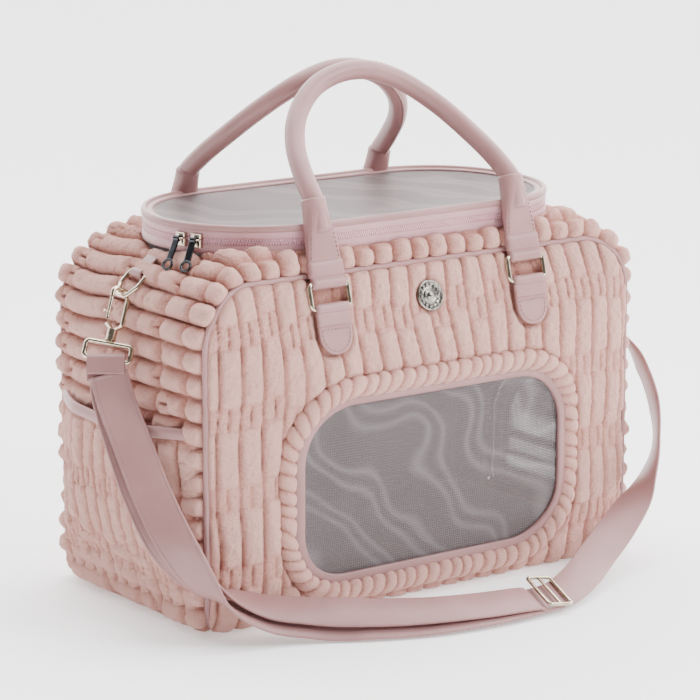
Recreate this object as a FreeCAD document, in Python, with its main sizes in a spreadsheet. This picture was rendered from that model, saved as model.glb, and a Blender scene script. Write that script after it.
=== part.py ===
"""Soft pet carrier bag: a sewn plush carcass with a mesh window, a zipped mesh lid,
a zipped end door, a slip pocket, two ringed carrying handles and a clip-on shoulder strap.

Millimetres. +X runs along the bag, the window panel faces -Y, +Z is up.
The origin is the middle of the underside, on the surface that the bag stands on.
"""
import FreeCAD, Part
import math
import os

import Sketcher
from FreeCAD import Placement, Rotation, Vector

doc = FreeCAD.newDocument("pet_carrier_bag")

# ------------------------------------------------------------------ driving dimensions
DIMENSIONS = {
    # carcass
    "half_length": 212, "half_depth": 108, "half_depth_top": 93, "height": 288,
    "end_bulge": 10, "face_bulge": 24, "end_plan_bulge": 12, "face_plan_bulge": 20,
    "waist": 205, "crown": 66, "base_round": 22, "plan_round": 18, "top_round": 6,
    "wall": 8, "lining": 1.4, "deck": 272, "sill": 22,
    # front window
    "window_half": 134, "window_foot": 23, "window_head": 177, "window_round": 52,
    "ruff": 13, "binding": 7, "mesh": 1.4,
    # lid and its zip
    "lid_half_length": 179, "lid_half_width": 89, "lid_tape": 8, "collar": 5.5,
    "coil": 2.5, "coil_rise": 1.9, "coil_gap": 1.2, "lid_band": 5.5, "rim": 5, "rim_proud": 1.5,
    # end door and its zip
    "door_half": 74, "door_head": 148, "door_gap": 0.8, "door_zip": 4,
    "door_border": 14,
    # slip pocket
    "pocket_half": 95, "pocket_head": 160, "pocket_bulge": 27, "pocket_gape": 20, "pocket_belly": 10,
    "pocket_wall": 5, "pocket_hem": 7,
    # base
    "board_half_length": 180, "board_half_depth": 76, "board": 4, "cushion": 22,
    # handles, rings and tabs
    "handle_span": 97, "handle_tube": 8, "flap_width": 30, "flap": 5, "flap_length": 53,
    "ring_wire": 2, "ring_half": 18, "ring_rise": 19.5, "ring_play": 0.35, "tab": 4, "tab_drop": 22,
    # strap and its hardware
    "strap_width": 30, "strap": 2.2, "hook_wire": 1.8,
}
sheet = doc.addObject("Spreadsheet::Sheet", "Sizes")
for row, (alias, number) in enumerate(DIMENSIONS.items(), start=1):
    sheet.set(f"A{row}", alias)
    sheet.set(f"B{row}", str(number))
    sheet.setAlias(f"B{row}", alias)
doc.recompute()

QUARTER_BULGE = 1 - math.cos(math.pi / 4)
FAR = 400
sub_parts = []


def in_cells(words):
    """Sheet expression in which @wall and the like stand for the sheet's cells."""
    words = str(words)
    for alias in sorted(DIMENSIONS, key=len, reverse=True):
        words = words.replace(f"@{alias}", f"Sizes.{alias}")
    return words


def value(expression):
    return float(sheet.evalExpression(in_cells(expression)))


def keep(piece, label):
    """Name a finished sub-part; its label is also its file name."""
    piece.Label = label
    sub_parts.append(piece)
    return piece


# ------------------------------------------------------------------ building helpers
def outline_body(name, role, corners, depth, both_ways=True, offset="0"):
    """Body padded from a closed outline.

    A corner is (across, up, bulge): two expressions for its place and, for the run that
    leaves it, how far that run bows outwards (None for a straight run).
    """
    body = doc.addObject("PartDesign::Body", name)
    plane = next(item for item in body.Origin.OriginFeatures if item.Role == role)
    sketch = body.newObject("Sketcher::SketchObject", name + "_outline")
    sketch.AttachmentSupport = [(plane, "")]
    sketch.MapMode = "FlatFace"
    sketch.setExpression("AttachmentOffset.Base.z", in_cells(offset))
    points = [Vector(value(across), value(up), 0) for across, up, _ in corners]
    count = len(corners)
    for index, (_, _, bulge) in enumerate(corners):
        first, last = points[index], points[(index + 1) % count]
        if bulge is None:
            sketch.addGeometry(Part.LineSegment(first, last), False)
            continue
        chord = last - first
        outward = Vector(chord.y, -chord.x, 0).normalize() * value(bulge)
        sketch.addGeometry(Part.Arc(first, (first + last) * 0.5 + outward, last), False)

    def end_at(index):
        return 1 if sketch.Geometry[index].StartPoint.isEqual(points[index], 1e-6) else 2

    for index, (across, up, bulge) in enumerate(corners):
        following = (index + 1) % count
        at = end_at(index)
        for kind, place, number in (("DistanceX", across, points[index].x),
                                    ("DistanceY", up, points[index].y)):
            row = sketch.addConstraint(Sketcher.Constraint(kind, -1, 1, index, at, number))
            sketch.setExpression(f"Constraints[{row}]", in_cells(place))
        sketch.addConstraint(Sketcher.Constraint("Coincident", index, 3 - at,
                                                 following, end_at(following)))
        if bulge is not None:
            across_2, up_2, _ = corners[following]
            chord_squared = f"((({across_2})-({across}))^2 + (({up_2})-({up}))^2)"
            radius = f"{chord_squared}/(8*({bulge})) + ({bulge})/2"
            row = sketch.addConstraint(Sketcher.Constraint("Radius", index, value(radius)))
            sketch.setExpression(f"Constraints[{row}]", in_cells(radius))
    pad = body.newObject("PartDesign::Pad", name + "_pad")
    pad.Profile = sketch
    pad.setExpression("Length", in_cells(depth))
    if both_ways:
        pad.SideType = "Symmetric"
    return body


def quarter(radius):
    return f"({radius})*{QUARTER_BULGE:.6f}"


def common(name, *pieces):
    result = doc.addObject("Part::MultiCommon", name)
    result.Shapes = list(pieces)
    return result


def fuse(name, *pieces):
    result = doc.addObject("Part::MultiFuse", name)
    result.Shapes = list(pieces)
    return result


def cut(name, base, tool, *more_tools):
    result = base
    for number, each in enumerate((tool,) + more_tools):
        step = doc.addObject("Part::Cut", f"{name}_{number}")
        step.Base = result
        step.Tool = each
        result = step
    return result


def block(name, low, high):
    """Box between two corners, each given as three expressions."""
    box = doc.addObject("Part::Box", name)
    for size_name, axis, near, far in zip(("Length", "Width", "Height"), "xyz", low, high):
        box.setExpression(size_name, in_cells(f"({far}) - ({near})"))
        box.setExpression(f"Placement.Base.{axis}", in_cells(near))
    return box


def disc(name, radius, height, centre=(0, 0, 0), turn=None):
    cylinder = doc.addObject("Part::Cylinder", name)
    cylinder.setExpression("Radius", in_cells(radius))
    cylinder.setExpression("Height", in_cells(height))
    cylinder.Placement = Placement(Vector(*centre), turn or Rotation())
    return cylinder


def shape(name, solid, placement=None):
    """Sub-part whose bent or twisted form is computed from the sheet's values."""
    feature = doc.addObject("Part::Feature", name)
    feature.Shape = solid
    feature.Placement = placement or Placement()
    return feature


def rounded_path(points, radius, closed=False):
    """Straight runs joined by tangent arcs; a closed path starts half-way along a run."""
    points = [Vector(*point) for point in points]
    if closed:
        start = (points[-1] + points[0]) * 0.5
        points = [start] + points + [start]
    edges = []
    here = points[0]
    for before, corner, after in zip(points, points[1:], points[2:]):
        inward = (before - corner).normalize()
        outward = (after - corner).normalize()
        half_turn = (math.pi - inward.getAngle(outward)) / 2
        if half_turn < 1e-3:
            continue
        shortest = min((before - corner).Length, (after - corner).Length)
        reach = min(radius * math.tan(half_turn), 0.45 * shortest)
        bend = reach / math.tan(half_turn)
        middle = (inward + outward).normalize()
        centre = corner + middle * (bend / math.cos(half_turn))
        enter, leave = corner + inward * reach, corner + outward * reach
        top = centre - middle * bend
        edges.append(Part.LineSegment(here, enter).toShape())
        edges.append(Part.Arc(enter, top, leave).toShape())
        here = leave
    edges.append(Part.LineSegment(here, points[-1]).toShape())
    return Part.Wire(edges)


def bent_rod(points, bend, radius, closed=False):
    path = rounded_path(points, bend, closed)
    start = path.Edges[0].Vertexes[0].Point
    heading = path.Edges[0].tangentAt(path.Edges[0].FirstParameter)
    section = Part.Wire([Part.makeCircle(radius, start, heading)])
    return path.makePipeShell([section], True, True)


def frame_between(origin, along, across):
    """Placement whose local X runs across, and whose local Z runs along."""
    z_axis = Vector(*along).normalize()
    x_axis = Vector(*across)
    x_axis = (x_axis - z_axis * x_axis.dot(z_axis)).normalize()
    y_axis = z_axis.cross(x_axis)
    return Placement(Vector(*origin), Rotation(x_axis, y_axis, z_axis, "ZXY"))


# ------------------------------------------------------------------ the bulged carcass form
def bulged_form(name, end_inset, face_inset, level_inset):
    """The bag's outer form, or the same form set in by three expressions."""
    length = f"(@half_length - ({end_inset}))"
    depth = f"(@half_depth - ({face_inset}))"
    depth_top = f"(@half_depth_top - ({face_inset}))"
    foot = f"({level_inset})"
    head = f"(@height - ({level_inset}))"
    side = outline_body(name + "_front_view", "XZ_Plane", [
        (f"@base_round - {length}", foot, None),
        (f"{length} - @base_round", foot, quarter("@base_round")),
        (length, f"{foot} + @base_round", "@end_bulge"),
        (length, "@waist", None),
        (length, f"{head} - @crown", quarter("@crown")),
        (f"{length} - @crown", head, None),
        (f"@crown - {length}", head, quarter("@crown")),
        (f"-{length}", f"{head} - @crown", None),
        (f"-{length}", "@waist", "@end_bulge"),
        (f"-{length}", f"{foot} + @base_round", quarter("@base_round")),
    ], str(2 * FAR))
    end = outline_body(name + "_end_view", "YZ_Plane", [
        (f"@base_round - {depth}", foot, None),
        (f"{depth} - @base_round", foot, quarter("@base_round")),
        (depth, f"{foot} + @base_round", "@face_bulge"),
        (depth_top, f"{head} - @top_round", quarter("@top_round")),
        (f"{depth_top} - @top_round", head, None),
        (f"@top_round - {depth_top}", head, quarter("@top_round")),
        (f"-{depth_top}", f"{head} - @top_round", "@face_bulge"),
        (f"-{depth}", f"{foot} + @base_round", quarter("@base_round")),
    ], str(3 * FAR))
    plan = outline_body(name + "_plan_view", "XY_Plane", [
        (f"@plan_round - {length}", f"-{depth}", "@face_plan_bulge"),
        (f"{length} - @plan_round", f"-{depth}", quarter("@plan_round")),
        (length, f"@plan_round - {depth}", "@end_plan_bulge"),
        (length, f"{depth} - @plan_round", quarter("@plan_round")),
        (f"{length} - @plan_round", depth, "@face_plan_bulge"),
        (f"@plan_round - {length}", depth, quarter("@plan_round")),
        (f"-{length}", f"{depth} - @plan_round", "@end_plan_bulge"),
        (f"-{length}", f"@plan_round - {depth}", quarter("@plan_round")),
    ], str(3 * FAR))
    return common(name, side, end, plan)


def window_prism(name, inset):
    """Rounded window outline run through the front half of the bag."""
    half = f"(@window_half - ({inset}))"
    low = f"(@window_foot + ({inset}))"
    high = f"(@window_head - ({inset}))"
    turn = f"(@window_round - ({inset}))"
    return outline_body(name, "XZ_Plane", [
        (f"{turn} - {half}", low, None),
        (f"{half} - {turn}", low, quarter(turn)),
        (half, f"{low} + {turn}", None),
        (half, f"{high} - {turn}", quarter(turn)),
        (f"{half} - {turn}", high, None),
        (f"{turn} - {half}", high, quarter(turn)),
        (f"-{half}", f"{high} - {turn}", None),
        (f"-{half}", f"{low} + {turn}", quarter(turn)),
    ], str(FAR), both_ways=False)


def door_prism(name, outset):
    """Round-headed end door outline run through the right half of the bag."""
    half = f"(@door_half + ({outset}))"
    spring = "(@door_head - @door_half)"
    return outline_body(name, "YZ_Plane", [
        (f"-{half}", f"@sill - ({outset})", None),
        (half, f"@sill - ({outset})", None),
        (half, spring, quarter(half)),
        ("0", f"{spring} + {half}", quarter(half)),
        (f"-{half}", spring, None),
    ], str(FAR), both_ways=False)


def stadium(name, inset, bottom, rise):
    """Flat solid with round ends, set in from the lid's outline."""
    half = f"(@lid_half_length - ({inset}))"
    width = f"(@lid_half_width - ({inset}))"
    return outline_body(name, "XY_Plane", [
        (f"{width} - {half}", f"-{width}", None),
        (f"{half} - {width}", f"-{width}", quarter(width)),
        (half, "0", quarter(width)),
        (f"{half} - {width}", width, None),
        (f"{width} - {half}", width, quarter(width)),
        (f"-{half}", "0", quarter(width)),
    ], rise, both_ways=False, offset=bottom)


def stadium_ring(name, outer_inset, inner_inset, bottom, rise):
    return cut(name, stadium(name + "_outer", outer_inset, bottom, rise),
               stadium(name + "_inner", inner_inset, bottom, rise))


outer_form = bulged_form("outer_form", "0", "0", "0")
core_form = bulged_form("core_form", "0", "@wall", "0")
inner_form = common("inner_form", bulged_form("inset_form", "@wall", "@wall", "@wall"), core_form)
lining_form = bulged_form("lining_form", "@wall + @lining", "@wall + @lining", "@wall + @lining")
seam_plane = "(@half_depth_top - @wall - 4)"
front_half = block("front_half", (-FAR, -FAR, 0), (FAR, f"-{seam_plane}", "@deck"))
back_half = block("back_half", (-FAR, seam_plane, 0), (FAR, FAR, "@deck"))

# ------------------------------------------------------------------ front and back panels
panels = cut("panels", outer_form, core_form)
ruff_prism = window_prism("ruff_prism", "-@ruff")
opening_prism = window_prism("opening_prism", "0")
binding_prism = window_prism("binding_prism", "@binding")
keep(cut("front_panel_cut", common("front_panel_whole", panels, front_half), ruff_prism),
     "front_panel")
keep(common("back_panel_whole", panels, back_half), "back_panel")

skin_out = bulged_form("skin_out", "-4", "-4", "-4")
ruff_skin = cut("ruff_skin", skin_out, core_form)
ruff_ring = cut("ruff_ring", ruff_prism, opening_prism)
keep(common("ruff_piece", ruff_skin, ruff_ring), "window_ruff")
binding_ring = cut("binding_ring", opening_prism, binding_prism)
keep(common("binding_piece", panels, binding_ring), "window_binding")
mesh_near = bulged_form("mesh_near", "0", "@wall/2", "0")
mesh_far = bulged_form("mesh_far", "0", "@wall/2 + @mesh", "0")
keep(common("mesh_piece", cut("mesh_skin", mesh_near, mesh_far), binding_prism), "window_mesh")

# ------------------------------------------------------------------ ends, base and top border
ring_wall = cut("ring_wall", core_form, inner_form)
base_zone = block("base_zone", (-FAR, -FAR, 0), (FAR, FAR, "@sill"))
end_reach = "(@half_length - @wall - @crown)"
left_zone = block("left_zone", (-FAR, -FAR, "@sill"), (f"-{end_reach}", FAR, "@deck"))
right_zone = block("right_zone", (end_reach, -FAR, "@sill"), (FAR, FAR, "@deck"))
keep(common("base_piece", ring_wall, base_zone), "bottom_panel")
keep(common("left_piece", ring_wall, left_zone), "left_gusset")
door_hole = door_prism("door_hole", "@door_zip + @door_gap")
keep(cut("right_piece", common("right_whole", ring_wall, right_zone), door_hole), "right_gusset")

top_wall = cut("top_wall", outer_form, inner_form,
               stadium("mouth", "@lid_tape", "@deck - 1", "60"))
for side_name, low_y, high_y in (("front", -FAR, 0), ("back", 0, FAR)):
    zone = block(f"top_{side_name}_zone", (-FAR, low_y, "@deck"), (FAR, high_y, FAR))
    keep(common(f"top_{side_name}_piece", top_wall, zone), f"top_{side_name}_border")

# ------------------------------------------------------------------ lining, board and cushion
lining_shell = cut("lining_shell", inner_form, lining_form, opening_prism, door_hole,
                   stadium("lining_mouth", "@lid_tape", "@height - 20", "40"))
keep(lining_shell, "cabin_lining")


def base_slab(name, grow, bottom, rise, turn):
    half_x = f"(@board_half_length + {grow})"
    half_y = f"(@board_half_depth + {grow})"
    return outline_body(name, "XY_Plane", [
        (f"{turn} - {half_x}", f"-{half_y}", None),
        (f"{half_x} - {turn}", f"-{half_y}", quarter(turn)),
        (half_x, f"{turn} - {half_y}", None),
        (half_x, f"{half_y} - {turn}", quarter(turn)),
        (f"{half_x} - {turn}", half_y, None),
        (f"{turn} - {half_x}", half_y, quarter(turn)),
        (f"-{half_x}", f"{half_y} - {turn}", None),
        (f"-{half_x}", f"{turn} - {half_y}", quarter(turn)),
    ], rise, both_ways=False, offset=bottom)


floor_level = "(@wall + @lining)"
keep(base_slab("board", "0", floor_level, "@board", "20"), "base_board")
keep(base_slab("pad", "2", f"{floor_level} + @board", "@cushion", "30"), "base_cushion")


# ------------------------------------------------------------------ slip pocket on the left end
def pocket_form(name, inset):
    """Bulged block over the left end; the pocket wall is one of these less a smaller one."""
    reach = f"(@half_length - ({inset}))"
    half = f"(@pocket_half - ({inset}))"
    side = outline_body(name + "_front_view", "XZ_Plane", [
        (f"-{reach} - @pocket_gape", "@pocket_head", "@pocket_belly"),
        (f"-{reach}", "@sill - 1", None),
        ("-100", "@sill - 1", None),
        ("-100", "@pocket_head", None),
    ], str(2 * FAR))
    plan = outline_body(name + "_plan_view", "XY_Plane", [
        (f"-{reach}", half, "@pocket_bulge"),
        (f"-{reach}", f"-{half}", None),
        ("-100", f"-{half}", None),
        ("-100", half, None),
    ], str(3 * FAR))
    return common(name, side, plan)


pocket_outer = pocket_form("pocket_outer", "0")
pocket_inner = pocket_form("pocket_inner", "@pocket_wall")
pocket_wall = cut("pocket_wall", pocket_outer, pocket_inner, outer_form)
hem_low = block("hem_low", (-FAR, -FAR, 0), (0, FAR, "@pocket_head - @pocket_hem"))
hem_high = block("hem_high", (-FAR, -FAR, "@pocket_head - @pocket_hem"), (0, FAR, "@pocket_head"))
keep(common("pocket_panel", pocket_wall, hem_low), "left_pocket")
keep(common("pocket_hem_piece", pocket_wall, hem_high), "left_pocket_binding")

# ------------------------------------------------------------------ lid and its zip
collar_top = "@height + @collar"
gap_foot = f"{collar_top} + @coil_rise"
gap_head = f"{gap_foot} + @coil_gap"
band_foot = f"{gap_head} + @coil_rise"
rim_foot = f"{band_foot} + @lid_band"
keep(stadium_ring("collar_ring", "0", "@lid_tape", "@height", "@collar"), "collar_zip_tape")
keep(stadium_ring("collar_coil_ring", "-0.5", "@coil - 0.5", collar_top, "@coil_rise"),
     "collar_zip_coil")
keep(stadium_ring("lid_coil_ring", "-0.5", "@coil - 0.5", gap_head, "@coil_rise"), "lid_zip_coil")
keep(stadium_ring("lid_band_ring", "0", "@lid_tape", band_foot, "@lid_band"), "lid_zip_tape")
keep(stadium_ring("rim_ring", "-@rim_proud", "@lid_tape - 1", rim_foot, "@rim"), "lid_binding")
keep(stadium("lid_mesh_plate", "@lid_tape - 1", f"{rim_foot} + 1", "@mesh"), "lid_mesh")


# ------------------------------------------------------------------ zip sliders and pulls
BAIL_REACH = 8.4
BAIL_RISE = 1.4
BAIL_HALF = 4
BAIL_BEND = 1.6
BAIL_WIRE = 0.8
SLIDER_WIDTH = 9
SLIDER_HEIGHT = 11
SLIDER_ROUND = 1.2
COIL_FACE = 0.9


def slider_shape(gap_level):
    """Slider in its own frame: X away from the chain, Y along the chain, Z up."""
    corner = Vector(COIL_FACE, -SLIDER_WIDTH / 2, gap_level - SLIDER_HEIGHT / 2)
    shell = Part.makeBox(4.4, SLIDER_WIDTH, SLIDER_HEIGHT, corner)
    shell = shell.makeFillet(SLIDER_ROUND, [edge for edge in shell.Edges
                                            if edge.CenterOfMass.x > COIL_FACE + 4])
    post_depth = value("@coil") + 2.4
    post = Part.makeBox(post_depth + COIL_FACE, 3, 0.6,
                        Vector(-post_depth, -1.5, gap_level - 0.3))
    inner = Part.makeBox(2, 7, 3.6, Vector(-post_depth - 0.4, -3.5, gap_level - 1.7))
    bail_level = gap_level + BAIL_RISE
    bail = bent_rod([(4.5, -BAIL_HALF, bail_level), (BAIL_REACH, -BAIL_HALF, bail_level),
                     (BAIL_REACH, BAIL_HALF, bail_level), (4.5, BAIL_HALF, bail_level)],
                    BAIL_BEND, BAIL_WIRE)
    return shell.fuse([post, inner, bail]).removeSplitter()


def pull_shape(length):
    """Zip pull hanging down -Z from its rolled eye at the origin, with a ring end."""
    blade = Part.makeBox(1.8, 5.6, length - 10, Vector(-0.9, -2.8, -length + 8))
    blade = blade.makeFillet(0.7, [edge for edge in blade.Edges if edge.Length > 8])
    eye = Part.makeCylinder(2.3, 4.6, Vector(0, -2.3, 0), Vector(0, 1, 0))
    eye_bore = Part.makeCylinder(1.2, 12, Vector(0, -6, 0), Vector(0, 1, 0))
    ring = Part.makeTorus(4, 1.1, Vector(0, 0, -length + 5), Vector(1, 0, 0))
    return blade.fuse(eye).cut(eye_bore).fuse(ring).removeSplitter()


arc_centre_x = value("@lid_half_width - @lid_half_length")
arc_radius = value("@lid_half_width")
gap_level = value(f"({gap_foot} + {gap_head})/2")
PULL_LENGTH = 27
PULL_LEAN = 32
DOOR_PULL_LENGTH = 23
for label, around in (("front", 26), ("rear", 17)):
    turn = Rotation(Vector(0, 0, 1), 180 + around)
    facing = turn.multVec(Vector(1, 0, 0))
    place = Vector(arc_centre_x, 0, 0) + facing * arc_radius
    keep(shape(f"slider_{label}", slider_shape(gap_level), Placement(place, turn)),
         f"zip_slider_{label}")
    eye_place = place + facing * BAIL_REACH + Vector(0, 0, gap_level + BAIL_RISE)
    lean = turn.multiply(Rotation(Vector(0, 1, 0), -PULL_LEAN))
    keep(shape(f"pull_{label}", pull_shape(PULL_LENGTH), Placement(eye_place, lean)),
         f"zip_pull_{label}")


# ------------------------------------------------------------------ end door and its zip
door_solid = common("door_solid", ring_wall, door_prism("door_edge", "0"))
door_window = door_prism("door_window", "-@door_border")
door_cut_window = cut("door_frame_cut", door_solid, door_window)
above_hinge = block("above_hinge", (100, -FAR, "@sill + 2"), (FAR, FAR, FAR))
keep(common("door_frame_piece", door_cut_window, above_hinge), "door_panel")
door_mesh_near = bulged_form("door_mesh_near", "3", "0", "0")
door_mesh_far = bulged_form("door_mesh_far", "3 + @mesh", "0", "0")
keep(common("door_mesh_piece", cut("door_mesh_skin", door_mesh_near, door_mesh_far), door_window),
     "door_mesh")
door_zip_ring = cut("door_zip_ring", door_hole, door_prism("door_zip_inner", "@door_gap"))
door_zip_zone = block("door_zip_zone", (100, -FAR, "@sill"), (FAR, FAR, FAR))
door_zip_skin = cut("door_zip_skin", bulged_form("door_zip_near", "1", "0", "0"),
                    bulged_form("door_zip_far", "5", "0", "0"))
keep(common("door_zip_piece", door_zip_skin, door_zip_ring, door_zip_zone), "door_zip_tape")

DOOR_SLIDER_LEVEL = 31
DOOR_SLIDER_X = 217.6
DOOR_SLIDER_DEPTH = 4
DOOR_BAIL_REACH = 6.6
DOOR_BAIL_HALF = 3.6
DOOR_BAIL_RISE = 1
DOOR_PULL_LEAN = 8


def door_slider_shape():
    """Slider lying on the door's chain in its own frame: X outwards, Z along the chain."""
    shell = Part.makeBox(DOOR_SLIDER_DEPTH, SLIDER_WIDTH, SLIDER_HEIGHT,
                         Vector(0, -SLIDER_WIDTH / 2, -SLIDER_HEIGHT / 2))
    shell = shell.makeFillet(SLIDER_ROUND, [edge for edge in shell.Edges
                                            if edge.CenterOfMass.x > DOOR_SLIDER_DEPTH - 0.1])
    bail = bent_rod([(3, -DOOR_BAIL_HALF, DOOR_BAIL_RISE),
                     (DOOR_BAIL_REACH, -DOOR_BAIL_HALF, DOOR_BAIL_RISE),
                     (DOOR_BAIL_REACH, DOOR_BAIL_HALF, DOOR_BAIL_RISE),
                     (3, DOOR_BAIL_HALF, DOOR_BAIL_RISE)], BAIL_BEND, BAIL_WIRE)
    return shell.fuse(bail).removeSplitter()


door_slider_place = Vector(DOOR_SLIDER_X, -value("@door_half + @door_gap + @door_zip + 1"),
                           DOOR_SLIDER_LEVEL)
keep(shape("door_slider", door_slider_shape(), Placement(door_slider_place, Rotation())),
     "door_zip_slider")
door_eye_place = door_slider_place + Vector(DOOR_BAIL_REACH, 0, DOOR_BAIL_RISE)
keep(shape("door_pull", pull_shape(DOOR_PULL_LENGTH),
           Placement(door_eye_place, Rotation(Vector(0, 1, 0), -DOOR_PULL_LEAN))),
     "door_zip_pull")

# ------------------------------------------------------------------ handles, rings and tabs
def panel_point(level):
    """Depth and slope angle of the front panel's surface at a height."""
    low = Vector(value("@half_depth"), value("@base_round"), 0)
    high = Vector(value("@half_depth_top"), value("@height - @top_round"), 0)
    bulge = value("@face_bulge")
    chord = high - low
    radius = chord.Length ** 2 / (8 * bulge) + bulge / 2
    inward = Vector(-chord.y, chord.x, 0).normalize()
    centre = (low + high) * 0.5 + inward * (radius - bulge)
    depth = centre.x + math.sqrt(radius ** 2 - (level - centre.y) ** 2)
    slope = math.degrees(math.asin((level - centre.y) / radius))
    return depth, slope


LOWER_BAR_LEVEL = 246
BAR_STAND_OFF = 5.2
FLAP_LEAN = 16
LOOP_WALL = 1.8
RING_BEND = 4
HANDLE_BEND = 60
lower_depth, lower_slope = panel_point(LOWER_BAR_LEVEL)
lower_bar = Vector(0, -(lower_depth + BAR_STAND_OFF), LOWER_BAR_LEVEL)
RING_LEAN = 15
ring_up = Vector(0, math.sin(math.radians(RING_LEAN)), math.cos(math.radians(RING_LEAN)))
upper_bar = lower_bar + ring_up * value("@ring_rise")


def wire_frame():
    """Rectangular ring standing on its lower bar, whose middle is the origin."""
    half, rise = value("@ring_half"), value("@ring_rise")
    return bent_rod([(half, 0, rise), (half, 0, 0), (-half, 0, 0), (-half, 0, rise)],
                    RING_BEND, value("@ring_wire"), closed=True)


def looped_strip(width, thickness, length, round_end):
    """Strip standing up from the loop that holds a bar along X through the origin."""
    half = width / 2
    bore = value("@ring_wire + @ring_play")
    loop = Part.makeCylinder(bore + LOOP_WALL, width, Vector(-half, 0, 0), Vector(1, 0, 0))
    start = math.sqrt((bore + LOOP_WALL) ** 2 - (thickness / 2) ** 2) - 0.3
    plate = Part.makeBox(width, thickness, length - start, Vector(-half, -thickness / 2, start))
    if round_end:
        outline = Part.makeCylinder(half, thickness, Vector(0, -thickness / 2, length - half),
                                    Vector(0, 1, 0))
        plate = Part.makeBox(width, thickness, length - half - start,
                             Vector(-half, -thickness / 2, start)).fuse(outline)
    hole = Part.makeCylinder(bore, width + 2, Vector(-half - 1, 0, 0), Vector(1, 0, 0))
    return loop.fuse(plate).cut(hole).removeSplitter()


def tilt(degrees):
    return Rotation(Vector(1, 0, 0), degrees)


def handle_route(facing):
    """Middle line of a handle tube from the left flap's top to the right flap's top."""
    lean = math.radians(FLAP_LEAN)
    up_flap = Vector(0, math.sin(lean), math.cos(lean))
    top = upper_bar + up_flap * value("@flap_length")
    straight = top + up_flap * 9
    span = value("@handle_span")
    half = [(span, top.y, top.z), (span, straight.y, straight.z), (94, -73, 340),
            (84, -46, 362), (68, -26, 382), (42, -12, 401), (14, -8.6, 411)]
    half = [(x, -facing * y, z) for x, y, z in half]
    return [(-x, y, z) for x, y, z in half] + [half[-1]] + half[-2::-1]


for side_name, facing in (("front", -1), ("back", 1)):
    tube = bent_rod(handle_route(facing), HANDLE_BEND, value("@handle_tube"))
    keep(shape(f"{side_name}_tube", tube), f"{side_name}_handle_tube")
    for end_name, x_sign in (("left", -1), ("right", 1)):
        x = x_sign * value("@handle_span")
        name = f"{side_name}_{end_name}"
        lower = Vector(x, -facing * lower_bar.y, lower_bar.z)
        upper = Vector(x, -facing * upper_bar.y, upper_bar.z)
        keep(shape(f"{name}_ring_frame", wire_frame(), Placement(lower, tilt(facing * RING_LEAN))),
             f"{name}_ring")
        flap = looped_strip(value("@flap_width"), value("@flap"), value("@flap_length"), False)
        keep(shape(f"{name}_flap_strip", flap, Placement(upper, tilt(facing * FLAP_LEAN))),
             f"{name}_flap")
        tab = looped_strip(value("@flap_width"), value("@tab"), value("@tab_drop + 15"), True)
        keep(shape(f"{name}_tab_strip", tab,
                   Placement(lower, tilt(180 + facing * (lower_slope - 2)))), f"{name}_tab")

# ------------------------------------------------------------------ seam piping
PIPING_RADIUS = 2.5
PIPING_INSET = 4
PIPING_DROP = 18
PIPING_BEND = 46
PIPING_CORNER = 5
PIPING_PROUD = 0.8


def piping(label, facing):
    """Cord round a face panel's seam, from the base up and over; facing is -1 or 1."""
    side = value("@half_length") - PIPING_INSET
    bend = PIPING_BEND
    head = value("@height") - PIPING_DROP
    foot = value("@sill") + 1
    corner_depth = value("@half_depth") - PIPING_CORNER
    right_half = [(side, foot), (side, head - bend)]
    for step in range(1, 6):
        angle = math.radians(15 * step)
        right_half.append((side - bend + bend * math.cos(angle),
                           head - bend + bend * math.sin(angle)))
    right_half.append((side - bend, head))
    left_half = [(-x, z) for x, z in right_half]
    route = [(x, facing * min(corner_depth, panel_point(z)[0] + PIPING_PROUD), z)
             for x, z in left_half + right_half[::-1]]
    tube = shape(f"{label}_tube", bent_rod(route, bend, PIPING_RADIUS))
    keep(cut(f"{label}_cut", tube, outer_form), label)


piping("front_piping", -1)
piping("back_piping", 1)

# ------------------------------------------------------------------ badge
BADGE_LEVEL = 243
BADGE_RADIUS = 12.5
BADGE_THICKNESS = 2.2
badge_depth, badge_slope = panel_point(BADGE_LEVEL)
badge_turn = Rotation(Vector(1, 0, 0), 90 - badge_slope)
badge_plate = disc("badge_plate", BADGE_RADIUS, BADGE_THICKNESS)
badge_hollow = disc("badge_hollow", BADGE_RADIUS - 1.9, BADGE_THICKNESS, (0, 0, 1.4))
badge_rim = cut("badge_rim", badge_plate, badge_hollow)
badge_boss = disc("badge_boss", 5, 2)
badge = fuse("badge_fused", badge_rim, badge_boss)
badge.Placement = Placement(Vector(0, -badge_depth - 0.3, BADGE_LEVEL), badge_turn)
keep(badge, "badge")


# ------------------------------------------------------------------ shoulder strap
D_BAR = Vector(200.5, 0, 267.5)
D_TIP = Vector(217, 0, 252)
HOOK_HANG = Vector(0.44, -0.28, -0.853).normalize()
HOOK_LENGTH = 34
SWIVEL = D_TIP + HOOK_HANG * HOOK_LENGTH
LOOP_DROP = 19
LOOP_BAR = SWIVEL + HOOK_HANG * LOOP_DROP
HOOK_HALF = 7
D_HALF = 12
D_WIRE = 1.6
D_TAB_WIDTH = 15
D_TAB_THICKNESS = 3
D_TAB_LENGTH = 30
STRAP_LOOP_HALF = 18
STRAP_LOOP_WIRE = 1.9
BUCKLE_LENGTH = 22
BUCKLE_WIRE = 1.5


def mirrored(vector, x_sign):
    return Vector(x_sign * vector.x, vector.y, vector.z)


def d_ring_shape():
    """D-ring: straight bar along local X at the origin, bow reaching down local -Z."""
    reach = (D_TIP - D_BAR).Length
    shoulder = -reach * 0.55
    return bent_rod([(-D_HALF, 0, 0), (-D_HALF, 0, shoulder), (-D_HALF / 2, 0, -reach),
                     (D_HALF / 2, 0, -reach), (D_HALF, 0, shoulder), (D_HALF, 0, 0)],
                    3.5, D_WIRE, closed=True)


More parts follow.
